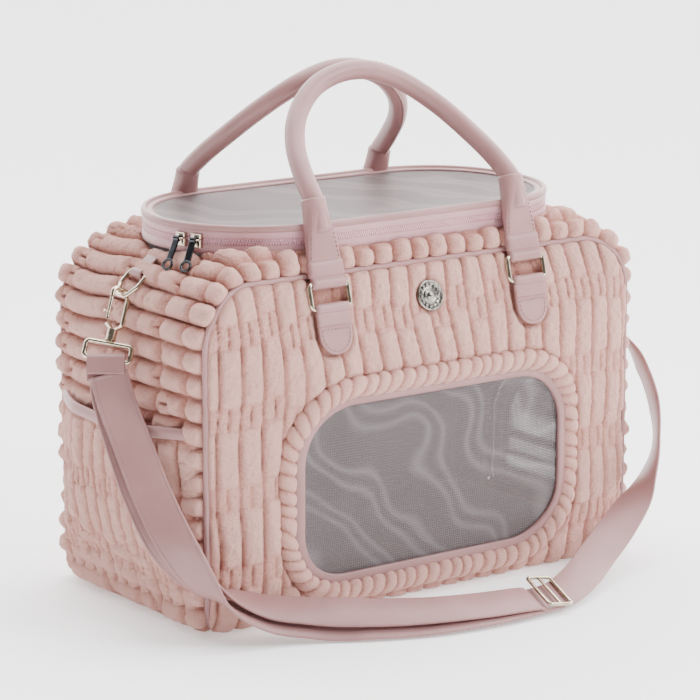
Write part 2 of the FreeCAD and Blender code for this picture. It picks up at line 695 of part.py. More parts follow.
def hook_shape():
    """Snap hook in its XZ plane: bow at the top round the origin, swivel barrel below."""
    wire = value("@hook_wire")
    top = 4.4
    foot = -HOOK_LENGTH + 4.5
    bow = bent_rod([(0, 0, foot), (-HOOK_HALF, 0, foot + 5), (-HOOK_HALF, 0, top),
                    (HOOK_HALF, 0, top), (HOOK_HALF, 0, -3)], 5.5, wire)
    lug = bent_rod([(0, 0, foot), (HOOK_HALF, 0, foot + 5)], 1, wire)
    barrel = Part.makeCylinder(4, 8.6, Vector(0, 0, -HOOK_LENGTH - 3.6), Vector(0, 0, 1))
    bore = Part.makeCylinder(2.35, 6.6, Vector(0, 0, -HOOK_LENGTH - 3.6), Vector(0, 0, 1))
    return bow.fuse([lug, barrel]).cut(bore).removeSplitter()


def gate_shape():
    """Spring gate closing the hook's open side, with its thumb stud."""
    foot = -HOOK_LENGTH + 12
    bar = Part.makeCylinder(1.3, -3.6 - foot, Vector(HOOK_HALF, 0, foot), Vector(0, 0, 1))
    stud = Part.makeCylinder(1.1, 4, Vector(HOOK_HALF, 0, foot + 6), Vector(1, 0, 0))
    return bar.fuse(stud).removeSplitter()


def strap_loop_shape():
    """Rectangular strap loop hanging from its swivel stem, bar along local X."""
    half = STRAP_LOOP_HALF
    frame = bent_rod([(-half, 0, 0), (-half, 0, 13), (half, 0, 13), (half, 0, 0)],
                     3, STRAP_LOOP_WIRE, closed=True)
    stem = Part.makeCylinder(2, LOOP_DROP - 11.5, Vector(0, 0, 14), Vector(0, 0, 1))
    return frame.fuse(stem).removeSplitter()


def buckle_shape():
    """Slider buckle: rectangular frame across local X, with a bar along its middle."""
    half, reach = STRAP_LOOP_HALF, BUCKLE_LENGTH / 2
    frame = bent_rod([(-half, -reach, 0), (-half, reach, 0), (half, reach, 0), (half, -reach, 0)],
                     3, BUCKLE_WIRE, closed=True)
    bar = Part.makeCylinder(1.3, 2 * half, Vector(-half, 0, 0), Vector(1, 0, 0))
    return frame.fuse(bar).removeSplitter()


def ribbon(stations, thickness, lift=0.0):
    """Flat webbing through stations (middle point, across direction), lifted off its middle."""
    half_width = value("@strap_width") / 2
    points = [Vector(*point) for point, _ in stations]
    sections = []
    for index, (_, across) in enumerate(stations):
        ahead = points[min(index + 1, len(points) - 1)] - points[max(index - 1, 0)]
        across = Vector(*across)
        across = (across - ahead * (across.dot(ahead) / ahead.dot(ahead))).normalize()
        normal = ahead.cross(across).normalize()
        middle = points[index] + normal * lift
        corners = [middle + across * (a * half_width) + normal * (n * thickness / 2)
                   for a, n in ((-1, -1), (1, -1), (1, 1), (-1, 1))]
        sections.append(Part.makePolygon(corners + [corners[0]]))
    return Part.makeLoft(sections, True, True)


LEFT_LEG = [
    ((-242.5, -21.5, 196.5), (0.80, -0.60, 0)), ((-245, -36, 179), (0.78, -0.60, -0.05)),
    ((-247, -62, 150), (0.74, -0.62, -0.1)), ((-246, -88, 115), (0.68, -0.66, -0.2)),
    ((-237, -112, 76), (0.60, -0.68, -0.3)), ((-216, -128, 40), (0.46, -0.74, -0.42)),
    ((-184, -138, 20), (0.26, -0.84, -0.46)), ((-148, -152, 11.5), (0.16, -0.88, -0.42)),
    ((-108, -174, 9.5), (0.24, -0.88, -0.38)), ((-62, -193, 9), (0.2, -0.9, -0.36)),
    ((-10, -202, 9), (0.05, -0.92, -0.36)), ((40, -202, 9.5), (-0.06, -0.93, -0.36)),
]
RIGHT_LEG = [
    ((64, -199, 10.5), (-0.16, -0.92, -0.36)), ((96, -185, 15), (-0.3, -0.86, -0.42)),
    ((132, -165, 24), (-0.4, -0.78, -0.48)), ((170, -147, 38), (-0.5, -0.7, -0.5)),
    ((205, -133, 60), (-0.6, -0.66, -0.46)), ((230, -121, 90), (-0.6, -0.74, -0.3)),
    ((241, -106, 122), (-0.4, -0.88, -0.2)), ((244, -84, 152), (-0.2, -0.9, -0.4)),
    ((244, -54, 176), (0, -0.84, -0.54)), ((243, -29, 193), (0.15, -0.9, -0.4)),
    ((242, -20, 200), (0.3, -0.95, -0.1)),
]
RETURN_LEG = LEFT_LEG[:-1] + [((33, -202, 9.4), (-0.05, -0.93, -0.36))]
keep(shape("long_run", ribbon(LEFT_LEG + RIGHT_LEG, value("@strap"))), "strap_long_run")
keep(shape("return_run", ribbon(RETURN_LEG, value("@strap"), -value("@strap") - 1)),
     "strap_return_run")

BUCKLE_MIDDLE = Vector(51, -200, 15)
BUCKLE_LIE = frame_between(BUCKLE_MIDDLE, (0.1, -0.36, 0.93), (-0.1, -0.92, -0.36))
keep(shape("buckle_frame", buckle_shape(), BUCKLE_LIE), "strap_slider_buckle")

for side_name, x_sign, loop_across in (("left", -1, (0.8, -0.6, 0)), ("right", 1, (0.3, -0.95, 0))):
    bar, tip = mirrored(D_BAR, x_sign), mirrored(D_TIP, x_sign)
    swivel, loop_bar = mirrored(SWIVEL, x_sign), mirrored(LOOP_BAR, x_sign)
    keep(shape(f"{side_name}_d", d_ring_shape(), frame_between(bar, bar - tip, (0, 1, 0))),
         f"{side_name}_d_ring")
    hook_frame = frame_between(tip, tip - swivel, (x_sign, 0, 0))
    keep(shape(f"{side_name}_hook_body", hook_shape(), hook_frame), f"{side_name}_hook")
    keep(shape(f"{side_name}_gate_bar", gate_shape(), hook_frame), f"{side_name}_gate")
    keep(shape(f"{side_name}_loop_wire", strap_loop_shape(),
               frame_between(loop_bar, swivel - loop_bar, loop_across)),
         f"{side_name}_strap_loop")
    d_tab = looped_strip(D_TAB_WIDTH, D_TAB_THICKNESS, D_TAB_LENGTH, True)
    lie = frame_between(bar, (-x_sign * 0.68, 0, 0.73), (0, x_sign, 0))
    keep(shape(f"{side_name}_d_tab_strip", d_tab, lie), f"{side_name}_d_ring_tab")

doc.recompute()

# ------------------------------------------------------------------ checks and export
for item in doc.Objects:
    if "Invalid" in item.State or "Error" in item.State:
        raise RuntimeError(f"{item.Name} ({item.Label}) failed: {item.State}")
os.makedirs("parts", exist_ok=True)
for piece in sub_parts:
    if piece.Shape.isNull() or not piece.Shape.isValid() or not piece.Shape.Solids:
        raise RuntimeError(f"{piece.Label} has no valid solid")
for piece in sub_parts:
    piece.Shape.exportStep(f"parts/{piece.Label}.step")
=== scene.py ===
"""Looks of the plush pet carrier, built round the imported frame."""
import math

import bpy
import numpy as np
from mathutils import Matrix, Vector
from mathutils.bvhtree import BVHTree


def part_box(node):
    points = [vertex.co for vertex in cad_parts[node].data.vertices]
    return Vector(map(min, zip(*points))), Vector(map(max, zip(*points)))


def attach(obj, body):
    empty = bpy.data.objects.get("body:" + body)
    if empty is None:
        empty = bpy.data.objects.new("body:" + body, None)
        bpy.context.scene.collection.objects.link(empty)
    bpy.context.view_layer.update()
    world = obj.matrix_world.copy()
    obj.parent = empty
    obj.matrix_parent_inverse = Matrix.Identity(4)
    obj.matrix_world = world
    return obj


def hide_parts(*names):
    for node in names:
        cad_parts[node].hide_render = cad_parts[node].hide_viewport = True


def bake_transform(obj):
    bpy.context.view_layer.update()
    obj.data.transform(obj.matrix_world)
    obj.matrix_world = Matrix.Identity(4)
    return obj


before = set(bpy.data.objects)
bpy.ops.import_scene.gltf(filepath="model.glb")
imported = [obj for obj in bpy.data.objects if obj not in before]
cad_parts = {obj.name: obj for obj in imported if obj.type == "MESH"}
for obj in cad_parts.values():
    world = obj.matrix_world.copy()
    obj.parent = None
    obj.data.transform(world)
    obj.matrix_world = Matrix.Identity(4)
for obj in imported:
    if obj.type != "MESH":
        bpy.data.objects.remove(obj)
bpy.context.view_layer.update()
MM = 0.001

# ------------------------------------------------------------------ sizes taken from the frame, in mm
def box_mm(node):
    low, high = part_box(node)
    return np.array(low) * 1000, np.array(high) * 1000


piping_high = box_mm("front_piping")[1]
PIPING_RADIUS = 2.5
SEAM_SIDE = piping_high[0] - PIPING_RADIUS
SEAM_HEAD = piping_high[2] - PIPING_RADIUS
SEAM_BEND = 46.0
BASE_ROUND = 22.0
UNDER_TURN = math.radians(84)   # how far the plush wraps under the base
CROWN = 66.0
crown_x = 212.0 - CROWN
crown_z = box_mm("top_front_border")[1][2] - CROWN
lid_high = box_mm("collar_zip_tape")[1]
LID_HALF_WIDTH = lid_high[1]
LID_STRAIGHT = lid_high[0] - LID_HALF_WIDTH
window_low, window_high = box_mm("window_binding")
WINDOW_HALF, WINDOW_FOOT, WINDOW_HEAD = window_high[0], window_low[2], window_high[2]
WINDOW_ROUND = 52.0
RUFF_WIDTH = 14.0


# ------------------------------------------------------------------ mesh helpers
def add_mesh(name, verts_mm, faces, body, slot, material, replaces=(), smooth=True, values=None):
    """New piece from corner points in mm; values is a 0 to 1 number per point for its material: the tuft
    height, which the plush colour turns into painted shade in the creases.
    """
    mesh = bpy.data.meshes.new(name)
    mesh.from_pydata((np.asarray(verts_mm, float) * MM).tolist(), [], faces)
    mesh.validate()
    if smooth:
        mesh.polygons.foreach_set("use_smooth", [True] * len(mesh.polygons))
    if values is not None:
        # tuft height per point, read by the plush material as painted shade in the creases
        layer = mesh.attributes.new("painted_crease_shade", "FLOAT", "POINT")
        layer.data.foreach_set("value", np.asarray(values, np.float32).ravel())
    piece = bpy.data.objects.new(name, mesh)
    bpy.context.scene.collection.objects.link(piece)
    mesh.materials.append(material)
    if replaces:
        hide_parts(*replaces)
    if body:
        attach(piece, body)
    return piece


def grid_faces(rows, columns, keep=None, wrap_rows=False, wrap_columns=False):
    """Quads of a grid of points stored row by row; keep is a mask over the quads."""
    row_count = rows if wrap_rows else rows - 1
    column_count = columns if wrap_columns else columns - 1
    i, j = np.meshgrid(np.arange(row_count), np.arange(column_count), indexing="ij")
    i2, j2 = (i + 1) % rows, (j + 1) % columns
    quads = np.stack([i * columns + j, i * columns + j2, i2 * columns + j2, i2 * columns + j], -1)
    if keep is not None:
        quads = quads[keep]
    return quads.reshape(-1, 4).tolist()


def add_grid(name, points, body, slot, material, keep=None, flip=False, wrap_rows=False,
             wrap_columns=False, **more):
    rows, columns = points.shape[:2]
    faces = grid_faces(rows, columns, keep, wrap_rows, wrap_columns)
    if flip:
        faces = [face[::-1] for face in faces]
    return add_mesh(name, points.reshape(-1, 3), faces, body, slot, material, **more)


def sweep_faces(count, sides, closed):
    faces = grid_faces(count, sides, wrap_rows=closed, wrap_columns=True)
    if not closed:
        faces.append(list(range(sides))[::-1])
        faces.append([(count - 1) * sides + k for k in range(sides)])
    return faces


def sweep(points, normals, profile, closed=False, scale=None):
    """Points of a profile (side, out) carried along a path; normals give the out direction."""
    points, normals = np.asarray(points, float), np.asarray(normals, float)
    if closed:
        ahead = np.roll(points, -1, 0) - np.roll(points, 1, 0)
    else:
        ahead = np.gradient(points, axis=0)
    ahead /= np.linalg.norm(ahead, axis=1)[:, None]
    normals = normals - ahead * np.sum(normals * ahead, 1)[:, None]
    normals /= np.linalg.norm(normals, axis=1)[:, None]
    sides = np.cross(ahead, normals)
    shape = np.asarray(profile, float)
    if shape.ndim == 2:
        shape = np.repeat(shape[None], len(points), 0)
    if scale is not None:
        shape = shape * np.asarray(scale)[:, None, None]
    return (points[:, None] + sides[:, None] * shape[:, :, :1] + normals[:, None] * shape[:, :, 1:])


def add_sweep(name, points, normals, profile, body, slot, material, closed=False, scale=None, **more):
    ring = sweep(points, normals, profile, closed, scale)
    count, sides = ring.shape[:2]
    return add_mesh(name, ring.reshape(-1, 3), sweep_faces(count, sides, closed), body, slot,
                    material, **more)


def circle(radius, sides=16, flat=1.0):
    angles = np.linspace(0, 2 * math.pi, sides, endpoint=False)
    return np.stack([radius * np.cos(angles), radius * flat * np.sin(angles)], 1)


def smooth_path(points, step):
    """Centripetal curve through the points, sampled evenly."""
    points = np.asarray(points, float)
    ends = np.vstack([2 * points[0] - points[1], points, 2 * points[-1] - points[-2]])
    out = []
    for k in range(len(points) - 1):
        p0, p1, p2, p3 = ends[k:k + 4]
        t1 = np.linalg.norm(p1 - p0) ** 0.5
        t2 = t1 + np.linalg.norm(p2 - p1) ** 0.5
        t3 = t2 + np.linalg.norm(p3 - p2) ** 0.5
        t = np.linspace(t1, t2, 24, endpoint=False)[:, None]
        a1 = (t1 - t) / t1 * p0 + t / t1 * p1
        a2 = (t2 - t) / (t2 - t1) * p1 + (t - t1) / (t2 - t1) * p2
        a3 = (t3 - t) / (t3 - t2) * p2 + (t - t2) / (t3 - t2) * p3
        b1 = (t2 - t) / t2 * a1 + t / t2 * a2
        b2 = (t3 - t) / (t3 - t1) * a2 + (t - t1) / (t3 - t1) * a3
        out.append((t2 - t) / (t2 - t1) * b1 + (t - t1) / (t2 - t1) * b2)
    return even(np.vstack(out + [points[-1:]]), step)


def even(points, step):
    """The same line with its points a step apart."""
    lengths = np.concatenate([[0], np.cumsum(np.linalg.norm(np.diff(points[:, :3], axis=0), axis=1))])
    count = max(2, int(round(lengths[-1] / step)) + 1)
    at = np.linspace(0, lengths[-1], count)
    return np.stack([np.interp(at, lengths, points[:, k]) for k in range(points.shape[1])], 1)


def lattice(shape, seed):
    return np.random.default_rng(seed).random(shape)


def value_noise(u, v, scale, seed):
    """Soft random field from 0 to 1 over two coordinates in mm."""
    table = lattice((64, 64), seed)
    a, b = u / scale, v / scale
    i, j = np.floor(a).astype(int), np.floor(b).astype(int)
    fa, fb = a - i, b - j
    fa, fb = fa * fa * (3 - 2 * fa), fb * fb * (3 - 2 * fb)
    i0, i1, j0, j1 = i % 64, (i + 1) % 64, j % 64, (j + 1) % 64
    low = table[i0, j0] * (1 - fa) + table[i1, j0] * fa
    high = table[i0, j1] * (1 - fa) + table[i1, j1] * fa
    return low * (1 - fb) + high * fb


def ease(x):
    x = np.clip(x, 0, 1)
    return x * x * (3 - 2 * x)


def dome(x):
    """Quarter-round rise from 0 at 0 to 1 at 1."""
    x = np.clip(x, 0, 1)
    return np.sqrt(1 - (1 - x) ** 2)


# ------------------------------------------------------------------ materials
class Look:
    """A material being built: its nodes, its links and its main shader."""

    def __init__(self, name):
        self.material = bpy.data.materials.new(name)
        self.material.use_nodes = True
        self.nodes = self.material.node_tree.nodes
        self.links = self.material.node_tree.links
        self.shader = self.nodes["Principled BSDF"]

    def node(self, kind, feeds=(), **settings):
        """New node; feeds are (socket, source) pairs, settings are socket values or properties."""
        made = self.nodes.new(kind)
        for key, value in settings.items():
            if key in made.inputs:
                made.inputs[key].default_value = value
            else:
                setattr(made, key, value)
        for socket, source in feeds:
            self.links.new(source, made.inputs[socket])
        return made

    def space(self, scale=(1, 1, 1)):
        place = self.node("ShaderNodeTexCoord").outputs["Object"]
        return self.node("ShaderNodeMapping", [("Vector", place)], Scale=scale).outputs["Vector"]

    def noise(self, space, scale, detail, roughness=0.5):
        return self.node("ShaderNodeTexNoise", [("Vector", space)], Scale=scale, Detail=detail,
                         Roughness=roughness).outputs["Fac"]

    def scaled(self, source, factor, plus=None):
        """A source times a factor, with another source added if there is one."""
        made = self.node("ShaderNodeMath", [(0, source)],
                         operation="MULTIPLY" if plus is None else "MULTIPLY_ADD")
        made.inputs[1].default_value = factor
        if plus is not None:
            self.links.new(plus, made.inputs[2])
        return made.outputs[0]

    def spread(self, source, low, high, **settings):
        """A source mapped on to low to high."""
        return self.node("ShaderNodeMapRange", [("Value", source)],
                         **{"To Min": low, "To Max": high}, **settings).outputs["Result"]

    def ramp(self, source, stops):
        made = self.node("ShaderNodeValToRGB", [("Fac", source)])
        elements = made.color_ramp.elements
        for k, (place, color) in enumerate(stops):
            element = elements[k] if k < 2 else elements.new(place)
            element.position = place
            element.color = (*color, 1)
        return made.outputs["Color"]

    def bump(self, source, distance, strength, after=None):
        feeds = [("Height", source)] + ([("Normal", after)] if after is not None else [])
        return self.node("ShaderNodeBump", feeds, Distance=distance,
                         Strength=strength).outputs["Normal"]

    def finish(self, **sockets):
        """Set or link the shader's sockets; an underscore stands for a space."""
        for key, value in sockets.items():
            socket = self.shader.inputs[key.replace("_", " ")]
            if isinstance(value, bpy.types.NodeSocket):
                self.links.new(value, socket)
            else:
                socket.default_value = value
        return self.material


def plush_material(name, deep, mid, half_light, light):
    """Short plush whose colour goes from deep in the creases to light on the rolls: painted shade in the
    creases and lighter roll tops, driven by the tuft height, over random mottling.
    """
    look = Look(name)
    space = look.space()
    clumps = look.noise(space, 520.0, 6.0, 0.78)
    # painted shade: the tuft height from the mesh darkens the colour in the creases between rolls
    level = look.scaled(clumps, 1.6, look.node("ShaderNodeAttribute", attribute_name="painted_crease_shade").outputs["Fac"])
    level = look.scaled(look.noise(space, 1250.0, 2.0, 0.9), 1.1, level)
    level = look.scaled(look.noise(space, 38.0, 3.0), 0.40, level)
    tone = look.ramp(look.scaled(level, 0.40),
                     [(0.42, deep), (1.0, light), (0.60, mid), (0.82, half_light)])
    fibres = look.noise(space, 1500.0, 3.0, 0.7)
    return look.finish(Base_Color=tone, Roughness=1.0, Specular_IOR_Level=0.12, Sheen_Weight=0.35,
                       Sheen_Roughness=0.5, Sheen_Tint=(1.0, 0.74, 0.68, 1),
                       Normal=look.bump(fibres, 0.0008, 0.6, look.bump(clumps, 0.003, 0.8)))


def leather_material(name, color, dark, roughness=0.42):
    """Smooth leatherette with a fine pebbled grain."""
    look = Look(name)
    space = look.space()
    grain = look.node("ShaderNodeTexVoronoi", [("Vector", space)], Scale=1150.0, feature="SMOOTH_F1")
    broad = look.noise(space, 22.0, 4.0)
    return look.finish(Base_Color=look.ramp(broad, [(0.3, dark), (0.72, color)]),
                       Roughness=look.spread(broad, roughness - 0.05, roughness + 0.08),
                       Specular_IOR_Level=0.45, Coat_Weight=0.12, Coat_Roughness=0.35,
                       Normal=look.bump(grain.outputs["Distance"], 0.0003, 0.3))


WAVE_PERIOD = 0.314   # spacing of Blender's bands at a scale of 1


def weave_material(name, color, dark, pitch, sheen=0.2, roughness=0.8, depth=0.0003):
    """Plain woven cloth with threads a pitch (m) apart."""
    look = Look(name)
    space = look.space()
    threads = [look.node("ShaderNodeTexWave", [("Vector", space)], wave_type="BANDS",
                         bands_direction=direction, Scale=WAVE_PERIOD / pitch, Distortion=0.4,
                         **{"Detail Scale": 2.0}).outputs["Fac"] for direction in ("X", "Z")]
    crossed = look.node("ShaderNodeMath", enumerate(threads), operation="MULTIPLY").outputs[0]
    tone = look.scaled(crossed, 0.4, look.noise(space, 30.0, 3.0))
    return look.finish(Base_Color=look.ramp(tone, [(0.25, dark), (0.85, color)]), Roughness=roughness,
                       Sheen_Weight=sheen, Normal=look.bump(crossed, depth, 0.5))


def net_material(name, color, light, cover, pitch, painted_moire, plane):
    """Fine net: threads over see-through holes, with soft ripple bands of painted light, lighter where light
    comes through two crossing layers.
    """
    look = Look(name)
    space = look.space(plane)
    cells = look.node("ShaderNodeTexVoronoi", [("Vector", space)], Scale=1 / pitch,
                      feature="DISTANCE_TO_EDGE", Randomness=0.15).outputs["Distance"]
    thread = look.spread(cells, min(1.0, cover + 0.22), max(0.0, cover - 0.22), clamp=True,
                         **{"From Min": 0.10, "From Max": 0.26})
    # painted light: wavy diagonal bands, lighter where light would pass through two crossing layers of net
    ripple = look.node("ShaderNodeTexWave", [("Vector", space)], wave_type="BANDS",
                       bands_direction="DIAGONAL", Scale=9.0, Distortion=9.0, Detail=1.0,
                       **{"Detail Scale": 1.1}).outputs["Fac"]
    tone = look.ramp(look.scaled(ripple, painted_moire),
                     [(0.0, color), (1.0, color), (0.45, color), (0.80, light)])
    return look.finish(Base_Color=tone, Roughness=0.55, Specular_IOR_Level=0.35, Alpha=thread,
                       Normal=look.bump(cells, 0.0003, 0.3))


def metal_material(name, color, dark, roughness):
    """Plated metal with faint handling marks."""
    look = Look(name)
    marks = look.noise(look.space(), 160.0, 6.0, 0.6)
    return look.finish(Base_Color=look.ramp(marks, [(0.35, dark), (0.62, color)]), Metallic=1.0,
                       Roughness=look.spread(marks, max(0.03, roughness - 0.06), roughness + 0.1),
                       Normal=look.bump(marks, 0.0002, 0.06))


# plush colours from the painted shade deep in the creases, through mid tones, to the lighter roll tops
PLUSH = plush_material("plush", (0.16, 0.035, 0.025), (0.42, 0.150, 0.110), (0.63, 0.300, 0.245),
                       (0.76, 0.430, 0.365))
LEATHER = leather_material("leatherette", (0.36, 0.190, 0.185), (0.29, 0.145, 0.14))
TAPE = weave_material("zip_tape", (0.54, 0.285, 0.31), (0.43, 0.21, 0.23), 0.0011, 0.4, 0.5)
COIL = weave_material("zip_coil", (0.74, 0.42, 0.48), (0.56, 0.26, 0.32), 0.0008, 0.1, 0.35)
WINDOW_NET = net_material("window_net", (0.110, 0.088, 0.092), (0.175, 0.150, 0.155), 0.84, 0.0021, 1.0,
                          (1, 0, 1))
LID_NET = net_material("lid_net", (0.110, 0.074, 0.076), (0.17, 0.12, 0.12), 0.94, 0.0021, 0.9,
                       (1, 1, 0))
LINING = weave_material("lining", (0.42, 0.36, 0.36), (0.33, 0.28, 0.28), 0.0014)
VELOUR = weave_material("velour", (0.62, 0.54, 0.53), (0.50, 0.43, 0.42), 0.0016, 0.6, 0.95)
BOARD = weave_material("board", (0.06, 0.06, 0.065), (0.04, 0.04, 0.045), 0.003, 0.0, 0.6, 0.0002)
GOLD = metal_material("pale_gold", (0.62, 0.54, 0.42), (0.46, 0.39, 0.29), 0.14)
GUNMETAL = metal_material("gunmetal", (0.075, 0.08, 0.09), (0.045, 0.045, 0.05), 0.16)
SILVER = metal_material("badge_metal", (0.36, 0.34, 0.30), (0.12, 0.11, 0.10), 0.24)

# ------------------------------------------------------------------ outer surface of the padded carcass
def surface_of(names):
    verts, faces = [], []
    for name in names:
        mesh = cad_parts[name].data
        start = len(verts)
        verts += [tuple(c * 1000 for c in v.co) for v in mesh.vertices]
        faces += [[start + k for k in polygon.vertices] for polygon in mesh.polygons]
    return BVHTree.FromPolygons(verts, faces)


carcass = surface_of(["front_panel", "back_panel", "left_gusset", "right_gusset", "top_front_border",
                      "top_back_border", "window_mesh", "window_binding", "door_panel", "door_mesh",
                      "door_zip_tape", "bottom_panel"])


def soften(table, times):
    for _ in range(times):
        padded = np.pad(table, 1, mode="edge")
        table = (padded[:-2, 1:-1] + padded[2:, 1:-1] + padded[1:-1, :-2] + padded[1:-1, 2:]
                 + 4 * table) / 8
    return table


class Relief:
    """Depth of a face as a smooth table over two coordinates, read by interpolation."""

    def __init__(self, across, up, depth):
        self.across, self.up, self.depth = across, up, depth

    def at(self, x, z):
        x, z = np.asarray(x, float), np.asarray(z, float)
        a = (np.clip(x, self.across[0], self.across[-1]) - self.across[0])
        a = a / (self.across[1] - self.across[0])
        b = (np.clip(z, self.up[0], self.up[-1]) - self.up[0]) / (self.up[1] - self.up[0])
        i = np.clip(np.floor(a).astype(int), 0, len(self.across) - 2)
        j = np.clip(np.floor(b).astype(int), 0, len(self.up) - 2)
        fa, fb = a - i, b - j
        t = self.depth
        return ((t[i, j] * (1 - fa) + t[i + 1, j] * fa) * (1 - fb)
                + (t[i, j + 1] * (1 - fa) + t[i + 1, j + 1] * fa) * fb)


def face_relief(facing):
    across = np.linspace(-209, 209, 140)
    up = np.linspace(BASE_ROUND, 284, 88)
    depth = np.zeros((len(across), len(up)))
    for i, x in enumerate(across):
        last = 108.0
        for j, z in enumerate(up):
            hit = carcass.ray_cast(Vector((x, facing * 400, z)), Vector((0, -facing, 0)))[0]
            if hit is not None and facing * hit.y > 60:
                last = facing * hit.y
            depth[i, j] = last
    return Relief(across, up, soften(depth, 14))


reliefs = {-1: face_relief(-1), 1: face_relief(1)}


def rounded_box_distance(x, z, half_x, low, high, bend):
    """Signed distance to a rounded rectangle, negative inside."""
    middle, half_z = (low + high) / 2, (high - low) / 2
    qx = np.abs(x) - (half_x - bend)
    qz = np.abs(z - middle) - (half_z - bend)
    outside = np.hypot(np.maximum(qx, 0), np.maximum(qz, 0))
    return outside + np.minimum(np.maximum(qx, qz), 0) - bend


def seam_half_width(z):
    """Half width of the face panel's seam at a height."""
    over = np.clip(z - (SEAM_HEAD - SEAM_BEND), 0, SEAM_BEND)
    return SEAM_SIDE - SEAM_BEND + np.sqrt(SEAM_BEND ** 2 - over ** 2)


# ------------------------------------------------------------------ tufts of the plush
FAT, SPLIT = 45.0, 18.0


def tufts(across, along, seed, pitch=18.0, fat=FAT, split=SPLIT, stagger=9.0, shift=0.0, pinches=(),
          fullness=3.6):
    """Height from 0 to 1 of rolled ribs that run along one coordinate and repeat across the other."""
    table = lattice(512, seed)
    sway = (value_noise(across * 0.4, along, 42.0, seed + 1) - 0.5) * 6.0
    place = (across + sway) / pitch
    column = np.floor(place).astype(int)
    inside = place - column
    lot = table[column % 512]
    lot2 = table[(column * 7 + 3) % 512]
    period = fat + split
    run = along + shift + (lot - 0.5) * stagger + np.where(column % 2 == 0, 2.5, -2.5)
    row = np.floor(run / period).astype(int)
    spot = run - row * period
    each = table[(column * 13 + row * 29) % 512]
    rib = np.abs(2 * inside - 1)
    body = np.sqrt(np.clip(1 - rib ** fullness, 0, 1))
    end = dome(np.minimum(spot, fat - spot) / (pitch * 0.36))
    fat_height = body * (0.60 + 0.40 * end) * (0.88 + 0.20 * each)
    middle = 0.5 + (lot2 - 0.5) * 0.18
    strand = np.where(inside < middle, inside / middle, (inside - middle) / (1 - middle))
    strands = np.sqrt(np.clip(1 - np.abs(2 * strand - 1) ** 4.5, 0, 1))
    reach = dome(np.minimum(spot - fat, period - spot) / 4.5)
    split_height = body * 0.66 * (1 - reach) + 0.70 * strands * reach
    is_fat = ease((fat - spot) / 1.8 + 0.5) * ease(spot / 1.8 + 0.5)
    height = fat_height * is_fat + split_height * (1 - is_fat)
    for place_of, width, share in pinches:
        wander = place_of + (lot2 - 0.5) * 7
        dip = np.exp(-((along - wander) / width) ** 2)
        height = height * (1 - share * dip * (0.7 + 0.3 * lot))
    return height


def fuzz(u, v, seed):
    """Uneven pile, in mm."""
    return ((value_noise(u, v, 7.0, seed) - 0.5) * 1.1 + (value_noise(u, v, 2.9, seed + 5) - 0.5) * 1.3
            + (value_noise(u, v, 1.5, seed + 9) - 0.5) * 0.9)


def grid_normals(points, outward):
    """Unit normals of a grid, turned the way of the outward directions."""
    du, dv = np.gradient(points, axis=0), np.gradient(points, axis=1)
    normals = np.cross(du, dv)
    normals /= np.maximum(np.linalg.norm(normals, axis=2), 1e-9)[..., None]
    turned = np.sign(np.sum(normals * outward, 2))
    turned[turned == 0] = 1
    return normals * turned[..., None]


def raise_nap(points, outward, height, lift, base, seed, u, v):
    """Points moved out along the surface's normals by the tufts, kept above the floor."""
    normals = grid_normals(points, outward)
    out = base + lift * height + fuzz(u, v, seed) * (0.35 + 0.65 * height)
    moved = points + normals * out[..., None]
    moved[..., 2] = np.maximum(moved[..., 2], 0.4)
    return moved


STEP = 1.25


# ------------------------------------------------------------------ front and back faces
def face_points(facing):
    """Base surface of a face from under the base up to the seam, with each point's x and height run."""
    columns = int(2 * SEAM_SIDE / STEP)
    wrap = BASE_ROUND * UNDER_TURN
    run = np.arange(-wrap, SEAM_HEAD - BASE_ROUND + 0.01, STEP)
    share = np.linspace(-1, 1, columns)
    turn = np.clip(-run / BASE_ROUND, 0, None)
    z = BASE_ROUND + np.clip(run, 0, None)
    half = seam_half_width(z)
    x = share[:, None] * half[None]
    depth = reliefs[facing].at(x, np.broadcast_to(z, x.shape))
    tuck = BASE_ROUND * (1 - np.cos(turn))
    x = x * (1 - tuck / SEAM_SIDE)
    low_z = BASE_ROUND - BASE_ROUND * np.sin(turn)
    height = np.where(run < 0, low_z, z)
    points = np.stack([x, facing * (depth - tuck), np.broadcast_to(height, x.shape)], -1)
    outward = np.zeros_like(points)
    outward[..., 1] = facing * np.cos(turn)
    outward[..., 2] = -np.sin(turn)
    return points, outward, x, np.broadcast_to(run, x.shape)


def flap_shade(x, z):
    """How far the handle tabs press the plush down at a point of a face, 0 to 1; the pressed tufts are lower
    and so also take darker painted shade in the plush colour.
    """
    pressed = np.zeros_like(x)
    for node_name in ("front_left_tab", "front_right_tab"):
        low, high = box_mm(node_name)
        distance = rounded_box_distance(x - (low[0] + high[0]) / 2, z, (high[0] - low[0]) / 2,
                                        low[2], high[2] + 30, 12)
        pressed = np.maximum(pressed, ease(1 - distance / 4))
    return pressed


